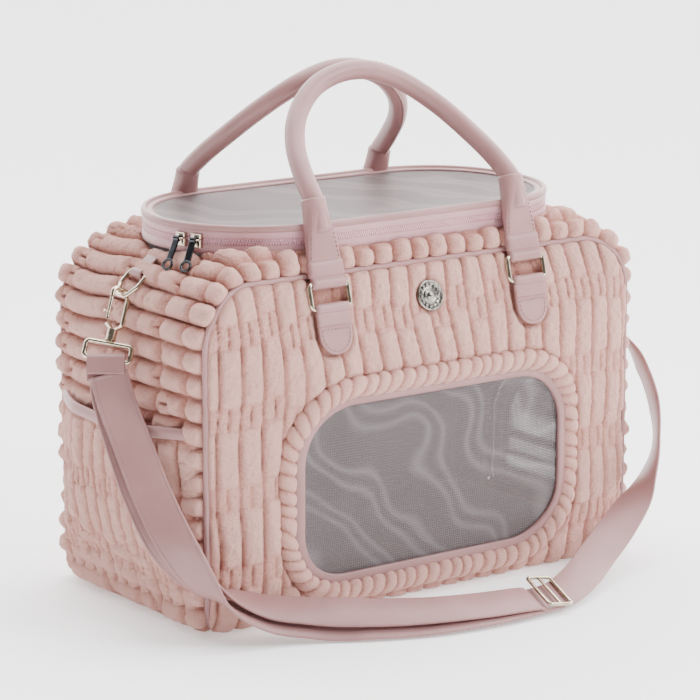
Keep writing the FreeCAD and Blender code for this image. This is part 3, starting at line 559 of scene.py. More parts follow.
for facing, side_name in ((-1, "front"), (1, "back")):
    points, outward, x, run = face_points(facing)
    z = points[..., 2]
    height = tufts(x, run, 11 + facing, shift=31.0)
    seam = -rounded_box_distance(x, z, SEAM_SIDE, -200, SEAM_HEAD, SEAM_BEND)
    height = height * (0.12 + 0.88 * dome(seam / 6.5))
    height *= 1 - 0.62 * flap_shade(x, z)
    base = -2.2 - 1.6 * ease(1 - seam / 5)
    keep = None
    if facing < 0:
        window = rounded_box_distance(x, z, WINDOW_HALF + RUFF_WIDTH, WINDOW_FOOT - RUFF_WIDTH,
                                      WINDOW_HEAD + RUFF_WIDTH, WINDOW_ROUND + RUFF_WIDTH)
        height = height * (0.15 + 0.85 * dome((window + 3) / 7))
        base = base - 3.5 * ease(1 - (window + 2) / 6)
        badge_low, badge_high = box_mm("badge")
        badge_distance = np.hypot(x, z - (badge_low[2] + badge_high[2]) / 2)
        height = height * (1 - 0.45 * ease(1 - (badge_distance - 11) / 5))
        inner = (window[1:, 1:] + window[:-1, :-1]) / 2
        keep = inner > -8
    moved = raise_nap(points, outward, height, 6.6, base + 0.4, 71 + facing, x, run)
    replaced = ["front_panel"] if facing < 0 else ["back_panel"]
    # the tuft height also goes to the material as painted shade in the creases
    add_grid(f"{side_name}_plush", moved, "carcass", "plush", PLUSH, keep, facing > 0,
             replaces=replaced, values=np.clip(height, 0, 1))


# ------------------------------------------------------------------ gusset: ends, crown and top
def gusset_station(t):
    """Point, outward direction (x, z) and seam distance for a run round the bag from the base."""
    rise = crown_z - BASE_ROUND
    arc = CROWN * math.pi / 2
    if t <= rise:
        return (-crown_x, BASE_ROUND + t), (-1.0, 0.0), SEAM_SIDE - crown_x
    if t <= rise + arc:
        angle = (t - rise) / CROWN
        c, s = math.cos(angle), math.sin(angle)
        shift_x = SEAM_SIDE - SEAM_BEND - crown_x
        shift_z = SEAM_HEAD - SEAM_BEND - crown_z
        dot = shift_x * c + shift_z * s
        reach = dot + math.sqrt(dot ** 2 + SEAM_BEND ** 2 - shift_x ** 2 - shift_z ** 2)
        if crown_x + reach * c < SEAM_SIDE - SEAM_BEND:
            reach = (SEAM_HEAD - crown_z) / s
        return (-crown_x, crown_z), (-c, s), reach
    return (-crown_x + t - rise - arc, crown_z), (0.0, 1.0), SEAM_HEAD - crown_z


def end_reach(station, direction, y):
    """Distance out from a station to the carcass at a depth y."""
    far = 300
    start = Vector((station[0] + direction[0] * far, y, station[1] + direction[1] * far))
    hit = carcass.ray_cast(start, Vector((-direction[0], 0, -direction[1])))[0]
    if hit is None:
        return None
    return (hit.x - station[0]) * direction[0] + (hit.z - station[1]) * direction[1]


def gusset_table(t_values, count):
    """Base points across the gusset for each run value, seam to seam, evenly spaced."""
    rows, runs = [], []
    for t in t_values:
        station, direction, seam_reach = gusset_station(t)
        seam_x, seam_z = station[0] + direction[0] * seam_reach, station[1] + direction[1] * seam_reach
        y_front = -float(reliefs[-1].at(seam_x, seam_z))
        y_back = float(reliefs[1].at(seam_x, seam_z))
        line = [(seam_reach, y_front)]
        for a in np.linspace(-math.pi / 2, math.pi / 2, 61)[1:-1]:
            y = y_front + (y_back - y_front) * (math.sin(a) + 1) / 2
            reach = end_reach(station, direction, y)
            line.append((max(reach if reach is not None else seam_reach, seam_reach), y))
        line.append((seam_reach, y_back))
        line = np.array(line)
        line[1:-1, 0] = soften(np.array([line[:, 0]]), 3)[0][1:-1]
        length = np.linalg.norm(np.diff(line, axis=0), axis=1).sum()
        flat = even(np.column_stack([line, np.zeros(len(line))]), length / (count - 1))[:count]
        rows.append([(station[0] + direction[0] * r, y, station[1] + direction[1] * r)
                     for r, y, _ in flat])
        runs.append(np.linspace(0, length, count))
    return np.array(rows), np.array(runs)


def refine(table, rows, columns):
    """A finer copy of a coarse grid of points or numbers."""
    old_rows, old_columns = table.shape[:2]
    flat = table.reshape(old_rows, old_columns, -1)
    a = np.linspace(0, old_rows - 1, rows)
    b = np.linspace(0, old_columns - 1, columns)
    i = np.clip(a.astype(int), 0, old_rows - 2)
    j = np.clip(b.astype(int), 0, old_columns - 2)
    fa, fb = (a - i)[:, None, None], (b - j)[None, :, None]
    out = ((flat[i][:, j] * (1 - fa) + flat[i + 1][:, j] * fa) * (1 - fb)
           + (flat[i][:, j + 1] * (1 - fa) + flat[i + 1][:, j + 1] * fa) * fb)
    return out[..., 0] if table.ndim == 2 else out


def stadium_distance(x, y, half_width, straight):
    over = np.maximum(np.abs(x) - straight, 0)
    return np.hypot(over, y) - half_width


RISE = crown_z - BASE_ROUND
HALF_RUN = RISE + CROWN * math.pi / 2 + crown_x
coarse_t = np.arange(0, HALF_RUN + 4, 4.0)
coarse_t[-1] = HALF_RUN
coarse_points, coarse_runs = gusset_table(coarse_t, 90)
for _ in range(3):
    coarse_points[1:-1] = (coarse_points[:-2] + 2 * coarse_points[1:-1] + coarse_points[2:]) / 4


def gusset_piece(name, t_from, t_to, mirror, replaced, seed, keep_test=None, pinches=()):
    """Plush of part of the gusset; mirror -1 is the right half of the bag."""
    first = int(np.argmin(np.abs(coarse_t - t_from)))
    last = int(np.argmin(np.abs(coarse_t - t_to)))
    rows = int((coarse_t[last] - coarse_t[first]) / STEP)
    columns = int(coarse_runs[first:last + 1].max() / STEP)
    points = refine(coarse_points[first:last + 1], rows, columns)
    along = refine(coarse_runs[first:last + 1], rows, columns)
    lengths = along[:, -1:]
    t = np.repeat(np.linspace(coarse_t[first], coarse_t[last], rows)[:, None], columns, 1)
    if first == 0:
        turn = np.arange(UNDER_TURN * BASE_ROUND, 0, -STEP) / BASE_ROUND
        tuck = BASE_ROUND * (1 - np.cos(turn))
        foot = np.repeat(points[:1], len(turn), 0)
        foot[..., 0] += tuck[:, None]
        foot[..., 1] *= 1 - tuck[:, None] / np.abs(points[0, 0, 1])
        foot[..., 2] = (BASE_ROUND - BASE_ROUND * np.sin(turn))[:, None]
        points = np.concatenate([foot, points])
        along = np.concatenate([np.repeat(along[:1], len(turn), 0), along])
        lengths = along[:, -1:]
        t = np.concatenate([np.repeat(-turn[:, None] * BASE_ROUND, columns, 1), t])
    outward = points - np.array([0.0, 0.0, 130.0])
    outward[..., 0] = np.sign(points[..., 0]) * np.maximum(np.abs(points[..., 0]) - crown_x, 0)
    outward[..., 2] = np.where(points[..., 2] < BASE_ROUND, points[..., 2] - BASE_ROUND,
                               np.maximum(points[..., 2] - crown_z, 0))
    outward[..., 1] *= 0.05
    height = tufts(t, along, seed, pitch=18.4, shift=13.0, stagger=26.0, fat=58.0, split=11.0,
                   pinches=pinches, fullness=2.1)
    edge = np.minimum(along, lengths - along)
    height = height * (0.12 + 0.88 * dome(edge / 7.5))
    base = -2.4 - 1.4 * ease(1 - edge / 5)
    hole = stadium_distance(points[..., 0], points[..., 1], LID_HALF_WIDTH, LID_STRAIGHT)
    hole = np.where(points[..., 2] > crown_z, hole, 99)
    height = height * (0.10 + 0.90 * dome((hole - 0.5) / 7))
    keep = hole[1:, 1:] > -3
    if keep_test is not None:
        more, height, base = keep_test(points, height, base)
        keep &= more
    base = np.where(hole < 9, base + 3.4 * ease(1 - hole / 9), base)
    moved = raise_nap(points, outward, height, 12.5, base - 2.4, seed + 40, t, along)
    collar = stadium_distance(moved[..., 0], moved[..., 1], LID_HALF_WIDTH, LID_STRAIGHT)
    slider_room = np.where(moved[..., 2] > 280, 289.4 + np.maximum(collar - 6.5, 0), 999)
    moved[..., 2] = np.minimum(moved[..., 2], slider_room)
    moved[..., 0] *= mirror
    # the tuft height also goes to the material as painted shade in the creases
    return add_grid(name, moved, "carcass", "plush", PLUSH, keep, mirror > 0, replaces=replaced,
                    values=np.clip(height, 0, 1))


DOOR_OUTER = box_mm("door_zip_tape")[1][1]
DOOR_TOP = box_mm("door_zip_tape")[1][2]
DOOR_FOOT = box_mm("door_zip_tape")[0][2]


def arch_distance(y, z, half, head):
    """Signed distance to a round-headed opening, negative inside."""
    spring = head - half
    return np.where(z > spring, np.hypot(y, z - spring) - half, np.abs(y) - half)


def door_hole(points, height, base):
    distance = arch_distance(points[..., 1], points[..., 2], DOOR_OUTER, DOOR_TOP)
    low = points[..., 2] < DOOR_FOOT - 1
    distance = np.where(low, np.maximum(distance, DOOR_FOOT - points[..., 2]), distance)
    on_end = points[..., 0] < -crown_x
    distance = np.where(on_end, distance, 99)
    height = height * (0.12 + 0.88 * dome(distance / 6))
    return distance[1:, 1:] > -2.5, height, base


TOP_RUN = RISE + CROWN * math.pi / 2 - 22
front_pinches = ((20, 3.4, 0.72), (55, 3.8, 0.66), (84, 3.4, 0.35))
gusset_piece("left_gusset_plush", 0, TOP_RUN, 1, ["left_gusset"], 23, pinches=front_pinches)
gusset_piece("left_top_plush", TOP_RUN, HALF_RUN, 1, ["top_front_border"], 23, pinches=front_pinches)
gusset_piece("right_gusset_plush", 0, TOP_RUN, -1, ["right_gusset"], 23, door_hole, front_pinches)
gusset_piece("right_top_plush", TOP_RUN, HALF_RUN, -1, ["top_back_border"], 23, pinches=front_pinches)

# ------------------------------------------------------------------ outlines used by trims
def rounded_outline(half_x, low, high, bend, step):
    """Closed outline of a rounded rectangle, with the outward direction at each point."""
    corners = [(half_x - bend, high - bend, 0), (-half_x + bend, high - bend, 90),
               (-half_x + bend, low + bend, 180), (half_x - bend, low + bend, 270)]
    points = []
    for x, z, start in corners:
        for angle in np.radians(np.arange(start, start + 90.1, 3)):
            points.append((x + bend * math.cos(angle), z + bend * math.sin(angle), 0))
    points.append(points[0])
    flat = even(np.array(points, float), step)[:-1]
    ahead = np.roll(flat, -1, 0) - np.roll(flat, 1, 0)
    out = np.stack([ahead[:, 1], -ahead[:, 0]], 1)
    return flat[:, :2], out / np.linalg.norm(out, axis=1)[:, None]


def face_normal(facing, x, z):
    relief = reliefs[facing]
    dx = (relief.at(x + 3, z) - relief.at(x - 3, z)) / 6
    dz = (relief.at(x, z + 3) - relief.at(x, z - 3)) / 6
    normal = np.stack([-dx, facing * np.ones_like(dx), -dz], -1)
    return normal / np.linalg.norm(normal, axis=-1)[..., None]


def on_face(facing, x, z, lift):
    """Points lifted off a face, with the face's normals."""
    normal = face_normal(facing, x, z)
    points = np.stack([x, facing * reliefs[facing].at(x, z), z], -1)
    return points + normal * np.asarray(lift)[..., None], normal


def stitches(name, points, normals, body, pitch=3.4, length=2.3, thick=0.42):
    """A row of short sewn stitches along a line."""
    line = even(np.hstack([points, normals]), pitch)
    middle, out = line[:, :3], line[:, 3:]
    ahead = np.gradient(middle, axis=0)
    ahead /= np.linalg.norm(ahead, axis=1)[:, None]
    side = np.cross(ahead, out)
    side /= np.maximum(np.linalg.norm(side, axis=1), 1e-9)[:, None]
    verts, faces = [], []
    rings = ((-0.5, 0.0, -0.4), (-0.36, 1.0, 0.25), (0.0, 1.15, 0.5), (0.36, 1.0, 0.25), (0.5, 0.0, -0.4))
    for k in range(len(middle)):
        start = len(verts)
        for along, wide, rise in rings:
            for angle in (0, 60, 120, 180, 240, 300):
                a = math.radians(angle)
                verts.append(middle[k] + ahead[k] * along * length
                             + side[k] * thick * wide * math.cos(a)
                             + out[k] * (thick * wide * math.sin(a) + rise * thick))
        for r in range(4):
            for s in range(6):
                faces.append([start + r * 6 + s, start + r * 6 + (s + 1) % 6,
                              start + (r + 1) * 6 + (s + 1) % 6, start + (r + 1) * 6 + s])
    return add_mesh(name, verts, faces, body, "leatherette", LEATHER)


CENTRE_SHARE = 0.0005   # what is left open at the middle of a sheet


def polar_sheet(outline, centre, rings, place):
    """Points from an outline in to its centre; place turns plane points into space."""
    shares = np.linspace(1, CENTRE_SHARE, rings)
    flat = centre + (outline[None] - centre) * shares[:, None, None]
    return place(flat, shares)


# ------------------------------------------------------------------ seam piping
def seam_line(facing):
    low = [(-SEAM_SIDE, z) for z in (BASE_ROUND, SEAM_HEAD - SEAM_BEND)]
    angles = np.radians(np.arange(0, 90.1, 5))
    arc = [(-(SEAM_SIDE - SEAM_BEND) - SEAM_BEND * math.cos(a),
            SEAM_HEAD - SEAM_BEND + SEAM_BEND * math.sin(a)) for a in angles]
    left = low + arc[1:]
    flat = np.array([(x, z, 0) for x, z in left + [(-x, z) for x, z in left[::-1]]], float)
    flat = even(flat, 3.0)
    x, z = flat[:, 0], flat[:, 1]
    points = np.stack([x, facing * (reliefs[facing].at(x, z) + 0.6), z], 1)
    foot = []
    for turn in np.radians(np.arange(80, 0, -8)):
        tuck = BASE_ROUND * (1 - math.cos(turn))
        foot.append((points[0, 0] + tuck, points[0, 1] - facing * tuck,
                     BASE_ROUND - BASE_ROUND * math.sin(turn) + 1.5))
    foot = np.array(foot)
    tail = foot[::-1] * np.array([-1, 1, 1])
    return smooth_path(np.vstack([foot, points[::2], tail]), 2.2)


for facing, side_name in ((-1, "front"), (1, "back")):
    line = seam_line(facing)
    out = np.stack([np.sign(line[:, 0]) * 0.7, np.full(len(line), facing * 1.0),
                    np.full(len(line), 0.3)], 1)
    add_sweep(f"{side_name}_seam_piping", line, out, circle(PIPING_RADIUS * 0.92, 12), "carcass",
              "leatherette", LEATHER, replaces=[f"{side_name}_piping"])

# ------------------------------------------------------------------ window: puffed ruff, binding, net
def window_outline(grow, step):
    """The bound opening's outline, grown by a distance."""
    return rounded_outline(WINDOW_HALF + grow, WINDOW_FOOT - grow, WINDOW_HEAD + grow,
                           WINDOW_ROUND + grow, step)[0]


NET_INSET = 6
ruff_path = window_outline(6.5, 0.9)
ruff_points, ruff_normals = on_face(-1, ruff_path[:, 0], ruff_path[:, 1], np.full(len(ruff_path), -0.5))
ruff_count = len(ruff_points)
ruff_sides = 26
around = np.linspace(0, 2 * math.pi, ruff_sides, endpoint=False)
BEADS = 70
beads = np.arange(ruff_count)[:, None] / ruff_count * BEADS
swing = (value_noise(beads * 5.0, beads * 0, 9.0, 5) - 0.5) * 0.5
lean = 0.30 * np.cos(around)[None] * (0.6 + 0.8 * value_noise(beads * 3.0, beads * 0, 16.0, 6))
spot = (beads + swing + lean) % 1.0
puff = np.sqrt(np.clip(1 - np.abs(2 * spot - 1) ** 2.2, 0, 1))
each = lattice(BEADS * 2, 8)[np.floor(beads + swing + lean).astype(int) % (BEADS * 2)]
rag = fuzz(np.arange(ruff_count)[:, None] * 0.9 + 0 * around, around[None] * 8 + 0 * beads, 91)
swell = 0.70 + 0.34 * puff * (0.88 + 0.2 * each) + rag * 0.035
ruff_shape = np.stack([8.6 * np.cos(around)[None] * swell, 9.2 * np.sin(around)[None] * swell], -1)
ruff = sweep(ruff_points, ruff_normals, ruff_shape, True)
# the puff of each bead also goes to the material as painted shade between the beads
add_mesh("window_ruff_plush", ruff.reshape(-1, 3), sweep_faces(ruff_count, ruff_sides, True),
         "carcass", "plush", PLUSH, replaces=["window_ruff"],
         values=np.clip(0.15 + 0.85 * puff, 0, 1))

band_path = window_outline(-3.2, 2.0)
band_points, band_normals = on_face(-1, band_path[:, 0], band_path[:, 1], np.full(len(band_path), 0.6))
band_shape = [(4.6, -2.0), (4.4, 0.2), (3.4, 1.1), (0.0, 1.5), (-3.4, 1.1), (-4.4, 0.2), (-4.6, -2.0)]
add_sweep("window_binding_trim", band_points, band_normals, band_shape, "carcass", "leatherette",
          LEATHER, closed=True, replaces=["window_binding"])
stitch_path = window_outline(-6.3, 2.0)
stitch_points, stitch_normals = on_face(-1, stitch_path[:, 0], stitch_path[:, 1],
                                        np.full(len(stitch_path), 1.5))
stitches("window_binding_stitches", stitch_points, stitch_normals, "carcass")

net_path = window_outline(-NET_INSET, 4.0)


def window_place(flat, shares):
    x, z = flat[..., 0], flat[..., 1]
    billow = -1.5 - 1.6 * (1 - shares[:, None] ** 2) + 1.0 * (value_noise(x, z, 60.0, 3) - 0.5)
    return on_face(-1, x, z, billow)[0]


net_centre = np.array([0.0, (WINDOW_FOOT + WINDOW_HEAD) / 2])
net_points = polar_sheet(net_path, net_centre, 30, window_place)
window_net = add_grid("window_net_sheet", net_points, "carcass", "window_net", WINDOW_NET,
                      wrap_columns=True, replaces=["window_mesh"])

# ------------------------------------------------------------------ collar, zip and lid
def stadium_outline(grow, step):
    """Closed outline of the lid's round-ended shape, with outward directions."""
    radius = LID_HALF_WIDTH + grow
    right = [(LID_STRAIGHT + radius * math.cos(a), radius * math.sin(a), 0)
             for a in np.radians(np.arange(-90, 90.1, 2))]
    left = [(-x, -y, 0) for x, y, _ in right]
    flat = even(np.array(right + left + [right[0]], float), step)[:-1]
    over = flat[:, :2].copy()
    over[:, 0] -= np.clip(over[:, 0], -LID_STRAIGHT, LID_STRAIGHT)
    return flat[:, :2], over / np.linalg.norm(over, axis=1)[:, None]


def lid_level(y):
    """Rise of the soft rim towards the hinge side."""
    return 2.2 * ease((y + 20) / 110)


def stadium_band(name, outline, body, slot, material, lidded, step=2.5, **more):
    """Band round the lid; outline is a closed list of (out, level)."""
    flat, out = stadium_outline(0, step)
    shape = np.array(outline, float)
    wave = (value_noise(flat[:, 0], flat[:, 1], 50.0, 12) - 0.5) * 0.8
    lift = lid_level(flat[:, 1]) if lidded else np.zeros(len(flat))
    x = flat[:, :1] + out[:, :1] * (shape[None, :, 0] + wave[:, None])
    y = flat[:, 1:] + out[:, 1:] * (shape[None, :, 0] + wave[:, None])
    z = shape[None, :, 1] + lift[:, None] * ease((shape[None, :, 1] - 297) / 8)
    points = np.stack([x, y, z], -1)
    return add_mesh(name, points.reshape(-1, 3), sweep_faces(len(flat), len(shape), True), body,
                    slot, material, **more)


def zip_teeth(name, low, high, body, shift, replaced):
    flat, out = stadium_outline(0.3, 2.1)
    verts, faces = [], []
    side = np.stack([-out[:, 1], out[:, 0]], 1)
    for k in range(len(flat)):
        start = len(verts)
        middle = flat[k] + side[k] * shift
        for level, wide, deep in ((low, 0.62, 0.8), ((low + high) / 2, 0.72, 1.25), (high, 0.5, 0.8)):
            for a, b in ((-1, -1), (1, -1), (1, 1), (-1, 1)):
                spot = middle + side[k] * a * wide + out[k] * b * deep
                verts.append((spot[0], spot[1], level))
        for ring in (0, 4):
            for s in range(4):
                faces.append([start + ring + s, start + ring + (s + 1) % 4,
                              start + ring + 4 + (s + 1) % 4, start + ring + 4 + s])
        faces.append([start + 3, start + 2, start + 1, start])
        faces.append([start + 8, start + 9, start + 10, start + 11])
    add_mesh(name, verts, faces, body, "zip_coil", COIL, smooth=False, replaces=replaced)


stadium_band("collar_tape", [(-2.2, 286), (1.4, 286), (1.9, 289), (1.2, 292.6), (0.2, 294.3),
                             (-0.8, 294.3), (-2.2, 292)],
             "carcass", "zip_tape", TAPE, False, replaces=["collar_zip_tape"])
stadium_band("lid_tape", [(-2.2, 300), (-0.8, 297.7), (0.2, 297.7), (1.3, 299.2), (1.8, 302.4),
                          (1.0, 305), (-2.2, 305)],
             "lid", "zip_tape", TAPE, True, replaces=["lid_zip_tape"])
zip_teeth("collar_teeth", 293.6, 296.1, "carcass", 0.0, ["collar_zip_coil"])
zip_teeth("lid_teeth", 295.9, 298.4, "lid", 1.05, ["lid_zip_coil"])
rim = [(2.4 * math.cos(a) - 0.2, 306.0 + 3.1 * math.sin(a)) for a in np.radians(np.arange(0, 360, 24))]
stadium_band("lid_rim", rim, "lid", "leatherette", LEATHER, True, replaces=["lid_binding"])
rim_flange = [(-1.5, 305.6), (-1.5, 307.4), (-7.6, 306.3), (-7.6, 305.0)]
stadium_band("lid_rim_flange", rim_flange, "lid", "leatherette", LEATHER, True)

# cloth strip that hinges the lid along its straight back edge
hinge_x = np.linspace(-LID_STRAIGHT + 3, LID_STRAIGHT - 3, 70)
hinge_side = [(1.9, 287.5), (2.6, 289.5), (2.5, 291.5), (2.3, 293.5), (2.2, 294.75), (2.2, 296),
              (2.2, 297.25), (2.3, 298.5), (2.5, 300.5), (2.6, 302.5), (1.9, 304.8)]
hinge_loop = np.array(hinge_side + [(out - 0.9, level) for out, level in hinge_side[::-1]])
hinge_points = np.stack([np.repeat(hinge_x[:, None], len(hinge_loop), 1),
                         np.repeat(LID_HALF_WIDTH + hinge_loop[None, :, 0], len(hinge_x), 0),
                         np.repeat(hinge_loop[None, :, 1], len(hinge_x), 0)], -1)
hinge_strip = add_mesh("lid_hinge_strip", hinge_points.reshape(-1, 3),
                       sweep_faces(len(hinge_x), len(hinge_loop), False), None, "zip_tape", TAPE)
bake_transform(hinge_strip)

LID_INSET = 6.5
lid_flat, _ = stadium_outline(-LID_INSET, 5.0)
shares = np.linspace(1, 0.0, 26)
axis_points = np.stack([np.clip(lid_flat[:, 0], -LID_STRAIGHT, LID_STRAIGHT),
                        np.zeros(len(lid_flat))], 1)
lid_xy = axis_points[None] + (lid_flat - axis_points)[None] * np.maximum(shares, CENTRE_SHARE)[:, None, None]
sag = 1 - shares[:, None] ** 2
lid_z = (305.6 + lid_level(lid_xy[..., 1]) - 7.5 * sag
         + 1.6 * (value_noise(lid_xy[..., 0], lid_xy[..., 1], 55.0, 21) - 0.5) * sag)
lid_points = np.concatenate([lid_xy, lid_z[..., None]], -1)
lid_net = add_grid("lid_net_sheet", lid_points, "lid", "lid_net", LID_NET, wrap_columns=True,
                   replaces=["lid_mesh"])

# ------------------------------------------------------------------ end pocket
pocket_high = box_mm("left_pocket")[1]
pocket_tree = surface_of(["left_pocket", "left_gusset", "front_panel", "back_panel"])


def end_relief(tree, sign, half, top):
    across = np.linspace(-half, half, 70)
    up = np.linspace(BASE_ROUND, top, 60)
    depth = np.zeros((len(across), len(up)))
    for i, y in enumerate(across):
        for j, z in enumerate(up):
            hit = tree.ray_cast(Vector((sign * 400, y, z)), Vector((-sign, 0, 0)))[0]
            depth[i, j] = sign * hit.x if hit is not None and sign * hit.x > 150 else 205
    return Relief(across, up, soften(depth, 6))


pocket_relief = end_relief(pocket_tree, -1, pocket_high[1] + 6, pocket_high[2] - 1)
pocket_half = pocket_high[1] + 6
wrap = BASE_ROUND * UNDER_TURN
pocket_run = np.arange(-wrap, pocket_high[2] + 3 - BASE_ROUND, STEP)
pocket_y = np.linspace(-pocket_half, pocket_half, int(2 * pocket_half / STEP))
turn = np.clip(-pocket_run / BASE_ROUND, 0, None)
pocket_z = BASE_ROUND + np.clip(pocket_run, 0, None)
yy, zz = np.meshgrid(pocket_y, pocket_z, indexing="ij")
tuck = np.broadcast_to(BASE_ROUND * (1 - np.cos(turn)), yy.shape)
level = np.where(pocket_run < 0, BASE_ROUND - BASE_ROUND * np.sin(turn), pocket_z)
pocket_x = pocket_relief.at(yy, zz) - 1.0
pocket_points = np.stack([-(pocket_x - tuck), yy * (1 - tuck / pocket_half),
                          np.broadcast_to(level, yy.shape)], -1)
pocket_outward = np.zeros_like(pocket_points)
pocket_outward[..., 0] = -np.cos(turn)
pocket_outward[..., 2] = -np.sin(turn)
run = np.broadcast_to(pocket_run, yy.shape)
pocket_height = tufts(yy, run, 47, pitch=16.5, fat=40, split=15, shift=20)
edge = pocket_half - np.abs(yy)
pocket_height = pocket_height * (0.1 + 0.9 * dome(edge / 8))
pocket_height = pocket_height * (0.35 + 0.65 * dome((pocket_high[2] - zz) / 7))
pocket_base = -2.6 - 5 * ease(1 - edge / 6)
pocket_moved = raise_nap(pocket_points, pocket_outward, pocket_height, 6.8, pocket_base, 55, yy, run)
# the tuft height also goes to the material as painted shade in the creases
add_grid("pocket_plush", pocket_moved, "carcass", "plush", PLUSH, flip=True,
         replaces=["left_pocket"], values=np.clip(pocket_height, 0, 1))
hem_y = np.linspace(-pocket_half + 2, pocket_half - 2, 90)
hem_z = pocket_high[2] + 3.5 - 3.5 * np.cos(hem_y / pocket_half * math.pi) * 0.6
hem_x = -(pocket_relief.at(hem_y, np.full(90, pocket_high[2] - 1.0)) + 0.4)
hem = np.stack([hem_x, hem_y, hem_z], 1)
hem_out = np.repeat([[-1.0, 0, 0.12]], 90, 0)
hem_shape = [(4.4, -1.6), (4.6, 0.6), (3.6, 1.6), (0, 2.0), (-3.6, 1.6), (-4.6, 0.6), (-4.4, -1.6)]
add_sweep("pocket_binding", hem, hem_out, hem_shape, "carcass", "leatherette", LEATHER,
          replaces=["left_pocket_binding"])
lining_y, lining_z = np.meshgrid(np.linspace(-pocket_half + 5, pocket_half - 5, 60),
                                 np.linspace(40, pocket_high[2] + 2, 40), indexing="ij")
lining_x = -(pocket_relief.at(lining_y, lining_z) - 4.2)
add_grid("pocket_lining", np.stack([lining_x, lining_y, lining_z], -1), "carcass", "lining", LINING)

# ------------------------------------------------------------------ handles, flaps and tabs
def strap_section(half_width, half_thick, power, sides=28):
    """Rounded flat section as (side, out) points."""
    angles = np.linspace(0, 2 * math.pi, sides, endpoint=False)
    c, s = np.cos(angles), np.sin(angles)
    return np.stack([half_width * np.sign(c) * np.abs(c) ** (2 / power),
                     half_thick * np.sign(s) * np.abs(s) ** (2 / power)], 1)


